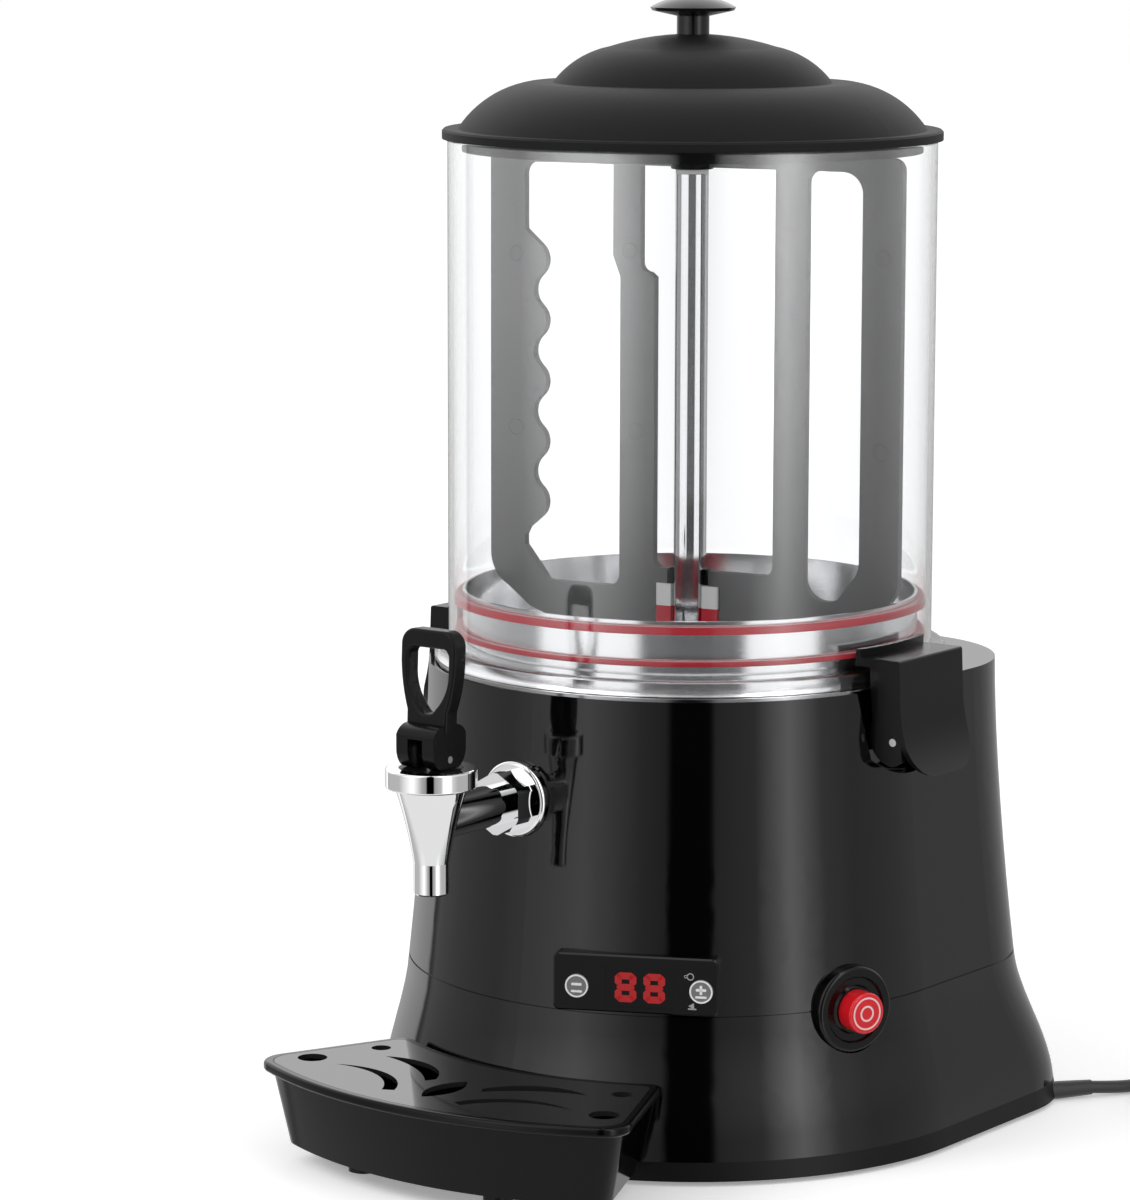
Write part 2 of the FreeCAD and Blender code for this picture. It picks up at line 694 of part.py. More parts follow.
def upper_shell():
    outer = shell_outer()
    inner = stack(SEAM_Z, DECK_Z - SHELL_WALL, SHELL_WALL, 4)
    shell = outer.cut(inner)
    for side in (1, -1):
        liner = pocket_profile(SHELL_WALL, side * (POCKET_X - SHELL_WALL), side * SEAM_HALF)
        shell = shell.fuse(liner.common(outer))
    for side in (1, -1):
        shell = shell.cut(pocket_profile(0, side * POCKET_X, side * (SEAM_HALF + 20)))
    cuts = vents()
    cuts.append(cyl(VESSEL_R + GAP, DECK_Z - 20, DECK_Z + 20))
    cuts.append(along_tap(THREAD_R + GAP, SUMP_Y, TAP_Y))
    cuts.append(along_tap(TAP_FLANGE_R + GAP / 2, tap_seat(), TAP_Y))
    cuts.append(panel_window())
    cuts.append(switch_tool(SWITCH_R + GAP / 2, SWITCH_BACK, SKIRT_HALF + 20))
    cuts.append(switch_tool(SWITCH_BARREL_R + GAP, SWITCH_BACK - 30, SWITCH_BACK))
    cuts.append(seam_groove())
    return shell.cut(cuts).removeSplitter()


def seam_groove():
    """Ring that leaves a shadow line between the shell and the skirt."""
    outside = Part.Face(plan_wire(SEAM_Z, -SEAM_GROOVE)).extrude(V(0, 0, SEAM_GROOVE))
    inside = Part.Face(plan_wire(SEAM_Z, SEAM_GROOVE)).extrude(V(0, 0, SEAM_GROOVE))
    return outside.cut(inside)


def along_tap(radius, near, far):
    """Cylinder on the shank's axis between two distances in front of the bowl's axis."""
    return rod(radius, (TAP_X, -near, TAP_Z), (TAP_X, -far, TAP_Z))


def tap_seat():
    """Distance of the flat seat under the tap's flange from the bowl's axis."""
    half = outline(TAP_Z)[0]
    edge = abs(TAP_X) + TAP_FLANGE_R
    return math.sqrt(half * half - edge * edge) + SEAT_PROUD


def rubber_feet():
    feet = []
    for x, y in foot_places():
        pad = Part.makeCone(FOOT_R - 1, FOOT_R, PAN_Z, V(x, y, 0))
        stem = cyl(FOOT_STEM_R, PAN_Z, PAN_TOP, x, y)
        head = cyl(FOOT_STEM_R + 2, PAN_TOP, PAN_TOP + 2.5, x, y)
        feet.append(pad.fuse([stem, head]).removeSplitter())
    return Part.makeCompound(feet)


def base_screws():
    screws = []
    for x, y in boss_places():
        head = cyl(SCREW_HEAD_R, PAN_Z - 1.6, PAN_Z, x, y)
        shank = cyl(SCREW_R, PAN_Z, PAN_Z + 14, x, y)
        screws.append(head.fuse(shank).removeSplitter())
    return Part.makeCompound(screws)


# ---------------------------------------------------------------- vessel and bowl


def floor_z(r):
    """Upper surface of the vessel's floor at radius r."""
    return VESSEL_FLOOR - VESSEL_DISH * (VESSEL_R - r) / VESSEL_R


def vessel():
    rim = VESSEL_R - SHEET
    bend = VESSEL_KNUCKLE * (1 - math.sqrt(0.5))
    low = VESSEL_FLOOR
    body = turned([
        (PIPE_R, floor_z(PIPE_R) - SHEET), (rim, low - SHEET),
        (rim, DECK_Z), (VESSEL_R + VESSEL_FLANGE, DECK_Z),
        (VESSEL_R + VESSEL_FLANGE, DECK_Z + FLANGE_T), (VESSEL_R, DECK_Z + FLANGE_T),
        (VESSEL_R, VESSEL_TOP), (rim, VESSEL_TOP), (rim, low + VESSEL_KNUCKLE),
        [(rim - bend, low + bend), (rim - VESSEL_KNUCKLE, low)],
        (PIPE_R, floor_z(PIPE_R))])
    return body.cut(cyl(SUMP_R - SHEET, BATH_Z, VESSEL_TOP, TAP_X, -SUMP_Y))


def bath_tank():
    tank = turned([
        (PIPE_R, BATH_Z), (VESSEL_R, BATH_Z), (VESSEL_R, DECK_Z),
        (VESSEL_R - BATH_WALL, DECK_Z), (VESSEL_R - BATH_WALL, BATH_Z + BATH_WALL),
        (PIPE_R, BATH_Z + BATH_WALL)])
    tank = tank.cut(along_tap(SHANK_R + SHEET, SUMP_Y, VESSEL_R + BATH_WALL))
    for x, y in heater_legs():
        tank = tank.cut(cyl(HEATER_TUBE_R, BATH_Z - 2, BATH_Z + 5, x, y))
    return tank


def outlet_sump():
    low = VESSEL_FLOOR - SHEET
    foot = BATH_Z + SUMP_RISE
    cup = cyl(SUMP_R, foot, low, TAP_X, -SUMP_Y)
    sump = cup.fuse(along_tap(SHANK_R + SHEET, SUMP_Y, sump_end()))
    sump = sump.cut(cyl(SUMP_R - SHEET, foot + SHEET, low + 5, TAP_X, -SUMP_Y))
    sump = sump.cut(along_tap(THREAD_R, SUMP_Y, TAP_Y))
    dish = turned([(PIPE_R, floor_z(PIPE_R) - SHEET), (VESSEL_R, low),
                   (VESSEL_R, low + 20), (PIPE_R, low + 20)])
    return sump.cut(dish).removeSplitter()


def sump_end():
    """Distance of the sump pipe's mouth from the bowl's axis; the tap's gasket sits on it."""
    return tap_seat() - GASKET_ROOM

def heater_legs():
    angle = math.radians(HEATER_GAP_DEG / 2)
    return [(side * HEATER_R * math.sin(angle), -HEATER_R * math.cos(angle)) for side in (-1, 1)]


def heater_element():
    ring_z = BATH_Z + BATH_WALL + HEATER_RISE
    disc = Part.Face(Part.Wire(Part.makeCircle(
        HEATER_TUBE_R, V(0, -HEATER_R, ring_z), V(1, 0, 0))))
    ring = disc.revolve(V(0, 0, 0), V(0, 0, 1), 360 - HEATER_GAP_DEG)
    ring.rotate(V(0, 0, 0), V(0, 0, 1), HEATER_GAP_DEG / 2)
    legs = [cyl(HEATER_TUBE_R, BATH_Z - 10, ring_z, x, y) for x, y in heater_legs()]
    return ring.fuse(legs).removeSplitter()


def thermostat():
    return cyl(THERMO_R, BATH_Z - THERMO_H, BATH_Z, -50, 45)


def bowl():
    inner, low = BOWL_INNER, BOWL_Z
    return turned([
        (inner, low), (BOWL_FLANGE_R - 0.8, low), (BOWL_FLANGE_R, low + 0.8),
        (BOWL_FLANGE_R, low + BOWL_FLANGE_T - 1), (BOWL_FLANGE_R - 1, low + BOWL_FLANGE_T),
        (BOWL_R, low + BOWL_FLANGE_T), (BOWL_R, BOWL_TOP), (inner, BOWL_TOP)])


def seal_ring(z, height):
    """Ring round the vessel that the bowl slides over, softened where it touches the bowl."""
    soft = height / 4
    return turned([
        (VESSEL_R, z), (BOWL_INNER - soft, z), (BOWL_INNER, z + soft),
        (BOWL_INNER, z + height - soft), (BOWL_INNER - soft, z + height), (VESSEL_R, z + height)])


def bowl_gasket():
    return Part.makeCompound([
        seal_ring(GASKET_LOW_Z, GASKET_LOW_T), seal_ring(GASKET_HIGH_Z, GASKET_HIGH_T)])


# ---------------------------------------------------------------- lid


def dome_curve(drop):
    """The lid's outer curve from the shoulder to the middle, lowered by drop."""
    base = BOWL_TOP + LID_RIM_T - drop
    crease = BOWL_TOP + LID_CREASE_RISE - drop
    top = BOWL_TOP + LID_DOME_RISE - drop
    rise = top - crease
    return [
        (LID_SHOULDER_R, base),
        [(LID_SHOULDER_R * 0.885, base + 0.61 * (crease - base)), (LID_SHOULDER_R * 0.70, crease)],
        (LID_CREASE_R, crease),
        [(LID_CREASE_R * 0.83, crease + 0.46 * rise), (LID_CREASE_R * 0.60, crease + 0.73 * rise)],
        cap_arc(LID_CREASE_R * 0.60, crease + 0.73 * rise, 0.27 * rise)]


def reverse_curve(curve):
    """The same curve from its far end."""
    back = []
    for i in range(len(curve) - 1, -1, -1):
        item = curve[i]
        end = item[1] if isinstance(item, list) else item
        if i == len(curve) - 1:
            back.append(end)
        if i > 0:
            before = curve[i - 1]
            start = before[1] if isinstance(before, list) else before
            back.append([item[0], start] if isinstance(item, list) else start)
    return back


def lid_shell():
    outer = dome_curve(0)
    inner = reverse_curve(dome_curve(LID_WALL))
    lip = LID_LIP_R - LID_WALL
    profile = [(LID_LIP_R, BOWL_TOP - LID_LIP_DEPTH), (LID_LIP_R, BOWL_TOP),
               (LID_R, BOWL_TOP), (LID_R, BOWL_TOP + LID_RIM_T - 1),
               (LID_R - 1, BOWL_TOP + LID_RIM_T)] + outer + inner[:-1]
    seat = inner[-1]
    end = seat[1] if isinstance(seat, list) else seat
    profile += [seat, (lip, end[1]), (lip, BOWL_TOP - LID_LIP_DEPTH)]
    return turned(profile).cut(cyl(LID_SCREW_R, BOWL_TOP, BOWL_TOP + 90))


def lid_knob():
    low = BOWL_TOP + LID_DOME_RISE
    disc = low + KNOB_STEM_H
    edge = disc + KNOB_DISC_H
    knob = turned([
        (0, low), (KNOB_STEM_R, low), (KNOB_STEM_R, disc), (KNOB_R - 1, edge - 1.6),
        (KNOB_R, edge), cap_arc(KNOB_R, edge, KNOB_DOME_H)])
    knob = knob.fuse(cyl(KNOB_STEM_R, low - 1.5, low + 1).cut(lid_top_mask()))
    return knob.cut(cyl(LID_SCREW_R, low - 5, low + LID_SCREW_L)).removeSplitter()


def lid_top_mask():
    """Solid under the lid's outer curve, to seat the knob on the dome."""
    profile = dome_curve(0)
    return turned(profile + [(0, BOWL_TOP)] + [(LID_SHOULDER_R, BOWL_TOP)])


def lid_screw():
    under = BOWL_TOP + LID_DOME_RISE - LID_WALL
    head = cyl(2 * LID_SCREW_R, under - 3.2, under - 0.2)
    shank = cyl(LID_SCREW_R, under - 0.2, under + LID_WALL + LID_SCREW_L)
    return head.fuse(shank).removeSplitter()


# ---------------------------------------------------------------- drive and paddle


def standpipe():
    return tube(PIPE_R, PIPE_R - PIPE_WALL, BATH_Z - 4, PIPE_TOP)


def shaft_bushes():
    inner = PIPE_R - PIPE_WALL
    low = tube(inner, SHAFT_R + FIT, BATH_Z, BATH_Z + BUSH_L)
    high = tube(inner, SHAFT_R + FIT, PIPE_TOP - BUSH_L - 1, PIPE_TOP - 1)
    return Part.makeCompound([low, high])


def drive_shaft():
    shaft = cyl(SHAFT_R, BRACKET_Z - GEARBOX_H + 8, PADDLE_TOP + SHAFT_PROUD)
    shoulder = cyl(SHAFT_R + 3, BRACKET_Z + BRACKET_T + 1, BRACKET_Z + BRACKET_T + 4)
    return shaft.fuse(shoulder).removeSplitter()


def gearbox():
    top = BRACKET_Z
    body = box(-GEARBOX_X / 2, GEARBOX_X / 2, -GEARBOX_Y / 2, GEARBOX_Y / 2, top - GEARBOX_H, top)
    body = body.makeFillet(6, upright_edges(body, lambda p: True))
    return body.cut(cyl(SHAFT_R + FIT, top - GEARBOX_H + 7, top + 1))


def mixer_motor():
    top = BRACKET_Z - GEARBOX_H
    can = cyl(MOTOR_R, top - MOTOR_H, top)
    rings = [e for e in can.Edges if e.Vertexes[0].Z < top - MOTOR_H + 1 and e.Length > MOTOR_R * 4]
    return can.makeFillet(4, rings)


def motor_bracket():
    low = PAN_TOP
    half_y = BRACKET_Y / 2
    plate = box(-BRACKET_X, BRACKET_X, -half_y, half_y, BRACKET_Z, BRACKET_Z + BRACKET_T)
    pieces = []
    for side in (-1, 1):
        x0, x1 = sorted((side * BRACKET_X, side * (BRACKET_X - BRACKET_T)))
        pieces.append(box(x0, x1, -half_y, half_y, low, BRACKET_Z + BRACKET_T))
        f0, f1 = sorted((side * BRACKET_X, side * (BRACKET_X - 18)))
        pieces.append(box(f0, f1, -half_y, half_y, low, low + BRACKET_T))
    bracket = plate.fuse(pieces).removeSplitter()
    return bracket.cut(cyl(SHAFT_R + 4, BRACKET_Z - 1, BRACKET_Z + BRACKET_T + 1))


def terminal_block():
    left = PAN_HALF - FOOT_CORNER - TERMINAL_L
    front = PAN_BACK - FOOT_CORNER
    top = PAN_TOP + TERMINAL_H
    block = box(left, left + TERMINAL_L, front, front + TERMINAL_W, PAN_TOP, top)
    cuts = []
    for i in range(TERMINAL_WAYS):
        x = left + TERMINAL_L * (i + 0.5) / TERMINAL_WAYS
        cuts.append(cyl(TERMINAL_W / 8, top - TERMINAL_H / 3, top + 1, x, front + TERMINAL_W / 2))
    return block.cut(cuts)


def wave_edge():
    """Wavy inner edge of the left bar, from its top down: arcs that meet on its mean line."""
    quarter = WAVE_PITCH / 4
    points = [(-WAVE_MID, WAVE_TOP - quarter)]
    for i in range(WAVE_COUNT):
        crest = WAVE_TOP - WAVE_PITCH * (i + 0.5)
        trough = crest - 2 * quarter
        points.append([(-WAVE_MID + WAVE_AMP, crest), (-WAVE_MID, crest - quarter)])
        if i < WAVE_COUNT - 1:
            points.append([(-WAVE_MID - WAVE_AMP, trough), (-WAVE_MID, trough - quarter)])
    return points


def bend(corner, start, end):
    """Quarter round at a corner of an (s, z) profile, from start to end, as one arc."""
    mid = [c + (a + b - 2 * c) * (1 - math.sqrt(0.5)) for c, a, b in zip(corner, start, end)]
    return [tuple(mid), end]


def opening(points):
    """Opening right through the paddle's plate from an (s, z) profile."""
    hole = upright(points)
    hole.translate(V(0, -PADDLE_T, 0))
    return hole.extrude(V(0, 2 * PADDLE_T, 0))


def left_window(wall, head):
    """Between the wavy bar and the left post; the post steps away from the pipe near its top."""
    r = PADDLE_ROUND
    post = POST_EDGE + POST_W
    post_top = POST_EDGE + POST_SETBACK + POST_SETBACK_W
    step = head - POST_STEP_DROP
    sill = PADDLE_SILL
    return opening([
        (-post_top, head), (-wall + r, head), bend((-wall, head), (-wall + r, head), (-wall, head - r)),
        (-wall, WAVE_TOP), *wave_edge(), (-wall + 2, WAVE_BOTTOM + 2), (-wall, WAVE_BOTTOM - 2),
        (-wall, sill + 3 * r), (-wall + 2 * r, sill + r / 2),
        [(-wall + 2.3 * r, sill + r / 8), (-wall + 3 * r, sill)], (-post - r, sill),
        bend((-post, sill), (-post - r, sill), (-post, sill + r)),
        (-post, step - POST_STEP_H), (-post_top, step)])


def middle_window(head):
    """Round the pipe, from the left post to the right one."""
    r = PADDLE_ROUND - 1
    low = PADDLE_SILL_IN
    edge, back = POST_EDGE, POST_EDGE + POST_SETBACK
    step = head - POST_STEP_DROP - POST_STEP_H / 2
    return opening([
        (-edge + r, low), (RIGHT_POST - r, low),
        bend((RIGHT_POST, low), (RIGHT_POST - r, low), (RIGHT_POST, low + r)),
        (RIGHT_POST, head), (-back, head), (-back, step + r / 2),
        bend((-back, step - r / 2), (-back, step + r / 2), (-back + r, step - r / 2)),
        (-edge, step - r), (-edge, low + r), bend((-edge, low), (-edge, low + r), (-edge + r, low))])


def right_window(wall, head):
    """Between the right post and the plain bar; its foot follows the plate's lower corner."""
    r = PADDLE_ROUND
    big = WINDOW_HEAD
    left = RIGHT_POST + RIGHT_POST_W
    low = PADDLE_SILL
    mid = (left + wall) / 2 - 2
    return opening([
        (left + r, head), bend((left, head), (left + r, head), (left, head - r)), (left, low + 2 * r),
        [(left + 0.28 * (mid - left), low + 0.5 * r), (mid, low)],
        [(mid + 0.7 * r, low + 0.15 * r), (mid + 1.2 * r, low + 0.6 * r)],
        (wall - 0.3 * r, low + 2.4 * r), [(wall - 0.08 * r, low + 3 * r), (wall, low + 3.8 * r)],
        (wall, head - big), bend((wall, head), (wall, head - big), (wall - big, head))])


def paddle():
    half = PADDLE_HALF
    low, top = PADDLE_BOTTOM, PADDLE_TOP
    plate = upright([
        (-half + 36, low), (half - 36, low), (half - 24, low + 4.6), (half - 10.5, low + 15),
        [(half - 2.3, low + 23), (half, low + 33)], (half, top - 6),
        [(half - 1.8, top - 1.8), (half - 6, top)], (-half + 6, top),
        [(-half + 1.8, top - 1.8), (-half, top - 6)], (-half, low + 33),
        [(-half + 2.3, low + 23), (-half + 10.5, low + 15)], (-half + 24, low + 4.6)])
    plate.translate(V(0, -PADDLE_T / 2, 0))
    solid = plate.extrude(V(0, PADDLE_T, 0))
    head = top - PADDLE_BAR
    wall = half - BAR_OUT
    room = BLOCK_OUT + GAP
    cuts = [left_window(wall, head), middle_window(head), right_window(wall, head),
            cyl(COLLAR_R, low - 1, COLLAR_Z + COLLAR_H), cyl(PIPE_R + GAP, low - 1, PADDLE_SILL_IN + 1),
            cyl(SHAFT_R, head - 1, top + 1), box(-room, room, -PADDLE_T, PADDLE_T, low - 1, COLLAR_Z)]
    solid = solid.fuse(cyl(BOSS_R, head, top)).cut(cuts)
    return swung(solid.removeSplitter(), PADDLE_TURN)


def paddle_hub():
    """Hub on the shaft, slotted for the plate's top bar, with a skirt round the pipe's top."""
    top = PADDLE_TOP - 2
    hub = turned([(SHAFT_R, HUB_Z), (HUB_R - 2, HUB_Z), (HUB_R, HUB_Z + 2), (HUB_R, top - 3),
                  (HUB_R - 3, top), (SHAFT_R, top)])
    hub = hub.cut(cyl(PIPE_R + GAP, HUB_Z - 1, PIPE_TOP + GAP))
    slot = box(-HUB_R - 1, HUB_R + 1, -PADDLE_T / 2, PADDLE_T / 2, PADDLE_TOP - PADDLE_BAR, PADDLE_TOP)
    return hub.cut([swung(slot, PADDLE_TURN), cyl(BOSS_R, PADDLE_TOP - PADDLE_BAR, PADDLE_TOP)])


def paddle_nut():
    low = PADDLE_TOP
    return turned([(SHAFT_R, low), (NUT_R, low), (NUT_R, low + NUT_H - 1.5),
                   (NUT_R - 1.5, low + NUT_H), (SHAFT_R, low + NUT_H)])


def paddle_bush():
    top = COLLAR_Z + COLLAR_H
    return turned([(PIPE_R + FIT, COLLAR_Z), (COLLAR_R, COLLAR_Z), (COLLAR_R, top - 2),
                   (COLLAR_R - 2, top), (PIPE_R + FIT, top)])


def beside_pipe(z0, z1):
    """A pair of blocks, one each side of the pipe in the paddle's plane."""
    pair = []
    inner = PIPE_R + GAP
    for side in (-1, 1):
        s0, s1 = sorted((side * inner, side * (inner + BLOCK_W)))
        block = box(s0, s1, -BLOCK_T / 2, BLOCK_T / 2, z0, z1)
        block = block.makeFillet(1.2, upright_edges(block, lambda p: abs(p.x) > inner + 1))
        pair.append(swung(block.cut(cyl(inner, z0 - 1, z1 + 1)), PADDLE_TURN))
    return pair


def guide_blocks():
    return Part.makeCompound(beside_pipe(BLOCK_Z, COLLAR_Z))


def wiper_tips():
    return Part.makeCompound(beside_pipe(WIPER_Z, BLOCK_Z))


# ---------------------------------------------------------------- tap


def tap_body():
    taper_low = SPOUT_Z + SPOUT_H
    body = turned([
        (0, SPOUT_Z), (SPOUT_R - 0.6, SPOUT_Z), (SPOUT_R, SPOUT_Z + 0.8), (SPOUT_R, taper_low),
        [(TAP_MID_R, (taper_low + TAP_BODY_TOP) / 2), (TAP_BODY_R, TAP_BODY_TOP)],
        (0, TAP_BODY_TOP)], TAP_X, -TAP_Y)
    shank = along_tap(SHANK_R, tap_nut_front(), TAP_Y)
    thread = along_tap(THREAD_R, SUMP_Y + SUMP_R - 1, TAP_Y)
    body = body.fuse([shank, thread])
    cuts = [cyl(SPOUT_BORE, SPOUT_Z - 1, TAP_BODY_TOP, TAP_X, -TAP_Y),
            cyl(CHAMBER_R, SEAT_Z + 3, TAP_BODY_TOP + 1, TAP_X, -TAP_Y),
            Part.makeCone(SPOUT_BORE, CHAMBER_R, 3, V(TAP_X, -TAP_Y, SEAT_Z)),
            along_tap(SHANK_BORE, 0, TAP_Y)]
    return body.cut(cuts).removeSplitter()


def tap_nut_front():
    return tap_seat() + TAP_FLANGE_T + TAP_NUT_L


def tap_flange():
    seat = tap_seat()
    disc = along_tap(TAP_FLANGE_R, seat, seat + TAP_FLANGE_T)
    rim = [e for e in disc.Edges if e.Length > TAP_FLANGE_R * 4 and e.Vertexes[0].Y < -seat - 1]
    return disc.makeFillet(TAP_FLANGE_T / 3, rim).cut(along_tap(THREAD_R, 0, TAP_Y))


def hexagon(radius, start, length):
    """Six-sided nut along -Y with its corners turned off."""
    points = [V(radius * math.sin(math.radians(60 * i)), 0, radius * math.cos(math.radians(60 * i)))
              for i in range(7)]
    nut = Part.Face(Part.makePolygon(points)).extrude(V(0, -length, 0))
    round_off = rod(radius * 0.95, (0, 0, 0), (0, -length, 0))
    nut = nut.common(round_off)
    nut.translate(V(TAP_X, start, TAP_Z))
    return nut


def tap_nut():
    seat = -tap_seat() - TAP_FLANGE_T
    return hexagon(TAP_NUT_R, seat, TAP_NUT_L).cut(along_tap(THREAD_R, 0, TAP_Y))


def tap_gasket():
    ring = along_tap(SHANK_R + SHEET, sump_end(), outline(TAP_Z)[0])
    return ring.cut([along_tap(THREAD_R, 0, TAP_Y), shell_skin()])


def shell_skin():
    """Solid ring that stands for the front wall near the tap."""
    half = outline(TAP_Z)[0]
    return tube(half + 10, half - SHELL_WALL - 1.2, TAP_Z - 2 * SHANK_R, TAP_Z + 2 * SHANK_R)


def tap_collar():
    return turned([
        (BONNET_NECK_R, TAP_BODY_TOP), (RING_R - RING_EDGE, TAP_BODY_TOP),
        bend((RING_R, TAP_BODY_TOP), (RING_R - RING_EDGE, TAP_BODY_TOP), (RING_R, TAP_BODY_TOP + RING_EDGE)),
        (RING_R, BONNET_TOP - RING_EDGE),
        bend((RING_R, BONNET_TOP), (RING_R, BONNET_TOP - RING_EDGE), (RING_R - RING_EDGE, BONNET_TOP)),
        (BONNET_R, BONNET_TOP), (BONNET_R, TAP_BODY_TOP + 3),
        (BONNET_NECK_R, TAP_BODY_TOP + 3)], TAP_X, -TAP_Y)


def tap_bonnet():
    disc = cyl(BONNET_R, TAP_BODY_TOP + 3, BONNET_TOP, TAP_X, -TAP_Y)
    skirt = cyl(BONNET_NECK_R, TAP_BODY_TOP, TAP_BODY_TOP + 3, TAP_X, -TAP_Y)
    bonnet = disc.fuse(skirt).removeSplitter()
    return bonnet.cut(cyl(STEM_R + FIT, TAP_BODY_TOP - 1, BONNET_TOP + 1, TAP_X, -TAP_Y))


def tap_stem():
    head = cyl(STEM_R, SEAL_TOP - 3, PIN_Z + 5, TAP_X, -TAP_Y)
    head = head.fuse(cyl(STEM_R + 2, SEAL_TOP - 3, SEAL_TOP - 1, TAP_X, -TAP_Y))
    return head.cut(across_fork(PIN_R, 0)).removeSplitter()


def across_fork(radius, proud):
    """Cylinder on the handle's pivot, through the fork and standing proud of it."""
    reach = FORK_W / 2 + proud
    return rod(radius, (TAP_X - reach, -TAP_Y, PIN_Z), (TAP_X + reach, -TAP_Y, PIN_Z))


def tap_pin():
    return across_fork(PIN_R, GAP)


def tap_seal():
    cone = turned([(0, SEAT_Z - 2), (SPOUT_BORE - GAP, SEAT_Z - 1),
                   (SPOUT_BORE - GAP, SEAT_Z + 0.4), (SEAL_R - GAP, SEAT_Z + 3.6),
                   (SEAL_R, SEAT_Z + 5), (SEAL_R, SEAL_TOP), (0, SEAL_TOP)],
                  TAP_X, -TAP_Y)
    rod_seat = cyl(STEM_R, SEAL_TOP - 3, SEAL_TOP + 1, TAP_X, -TAP_Y)
    ring_seat = cyl(STEM_R + 2, SEAL_TOP - 3, SEAL_TOP - 1, TAP_X, -TAP_Y)
    return cone.cut([rod_seat, ring_seat])


def tap_spring():
    """Square-wire spring round the stem, from the seal up to the bonnet."""
    half = SPRING_WIRE
    free = TAP_BODY_TOP - SEAL_TOP - 2 * half
    helix = Part.makeLongHelix(free / SPRING_TURNS, free, SPRING_R)
    near, far = SPRING_R - half, SPRING_R + half
    section = Part.makePolygon([
        V(near, 0, -half), V(far, 0, -half), V(far, 0, half), V(near, 0, half), V(near, 0, -half)])
    coil = Part.Wire(helix).makePipeShell([section], True, True)
    coil.translate(V(TAP_X, -TAP_Y, SEAL_TOP + half))
    return coil


def handle_loop():
    """Ring that the finger pulls: a round-edged loop that stands on the fork."""
    top, waist = HANDLE_TOP, HANDLE_WAIST_Z
    half, neck, round_r = HANDLE_W / 2, HANDLE_WAIST_W / 2, HANDLE_CORNER
    shoulder = waist + HANDLE_SHOULDER_H
    swell = (half - (half - neck) * 0.3, waist + HANDLE_SHOULDER_H / 2)
    loop = upright([
        (-neck, FORK_TOP - 4), (neck, FORK_TOP - 4), (neck, waist), [swell, (half, shoulder)],
        (half, top - round_r), bend((half, top), (half, top - round_r), (half - round_r, top)),
        (-half + round_r, top),
        bend((-half, top), (-half + round_r, top), (-half, top - round_r)),
        (-half, shoulder), [(-swell[0], swell[1]), (-neck, waist)]])
    loop.translate(V(0, -HANDLE_T / 2, 0))
    loop = loop.extrude(V(0, HANDLE_T, 0))
    wide = half - HANDLE_LIMB
    foot, head = EYE_FOOT_Z, top - HANDLE_BAR
    foot_r, head_r = EYE_FOOT_R, HANDLE_CORNER / 2
    side = [(wide - 2, foot + 2.2 * foot_r), (wide, foot + 4.4 * foot_r)]
    eye = upright([
        (-foot_r, foot + 0.6 * foot_r), [(0, foot), (foot_r, foot + 0.6 * foot_r)], side,
        (wide, head - head_r), bend((wide, head), (wide, head - head_r), (wide - head_r, head)),
        (-wide + head_r, head),
        bend((-wide, head), (-wide + head_r, head), (-wide, head - head_r)), (-wide, side[1][1]),
        [(-side[0][0], side[0][1]), (-foot_r, foot + 0.6 * foot_r)]])
    eye.translate(V(0, -HANDLE_T, 0))
    loop = loop.cut(eye.extrude(V(0, 2 * HANDLE_T, 0)))
    rims = [e for e in loop.Edges if e.BoundBox.YLength < 0.01]
    loop = loop.makeFillet(HANDLE_ROUND, rims)
    loop.rotate(V(0, 0, PIN_Z), V(1, 0, 0), -HANDLE_LEAN)
    loop.translate(V(TAP_X, -TAP_Y, 0))
    return loop


def tap_handle():
    slot = FORK_SLOT / 2
    fork = cam_block().cut(box(TAP_X - slot, TAP_X + slot, -TAP_Y - FORK_W, -TAP_Y + FORK_W,
                               BONNET_TOP - 1, FORK_TOP - 6.5))
    handle = handle_loop().fuse(fork)
    return handle.cut(across_fork(PIN_R + FIT, 1)).removeSplitter()


def cam_point(angle):
    """Point of the cam that touches the bonnet when the handle is turned by angle.

    The distance from the pin to a flat under the cam grows evenly with the angle, so the
    contact point stands CAM_RISE in front of the pin.
    """
    reach = CAM_LOW + CAM_RISE * angle
    y = reach * math.sin(angle) + CAM_RISE * math.cos(angle)
    return y, PIN_Z - reach * math.cos(angle) + CAM_RISE * math.sin(angle)


def cam_block():
    """Lower part of the handle: two flat-footed cam cheeks joined above the stem."""
    eighth = math.pi / 8
    curve = [cam_point(i * eighth) for i in range(5)]
    side, side_z = curve[-1]
    front = [(0, -y, z) for y, z in curve]
    back = [(0, y, z) for y, z in curve]
    top_bend = [(0, side - 2.5, FORK_TOP - 2), (0, side - 8, FORK_TOP)]
    face = Part.Face(path([
        back[0], front[0], [front[1], front[2]], [front[3], front[4]], (0, -side, side_z + 7),
        [(0, -top_bend[0][1], top_bend[0][2]), (0, -top_bend[1][1], top_bend[1][2])],
        top_bend[1], [top_bend[0], (0, side, side_z + 7)], back[4], [back[3], back[2]],
        [back[1], back[0]]]))
    face.translate(V(TAP_X - FORK_W / 2, -TAP_Y, 0))
    return face.extrude(V(FORK_W, 0, 0))


# ---------------------------------------------------------------- latches


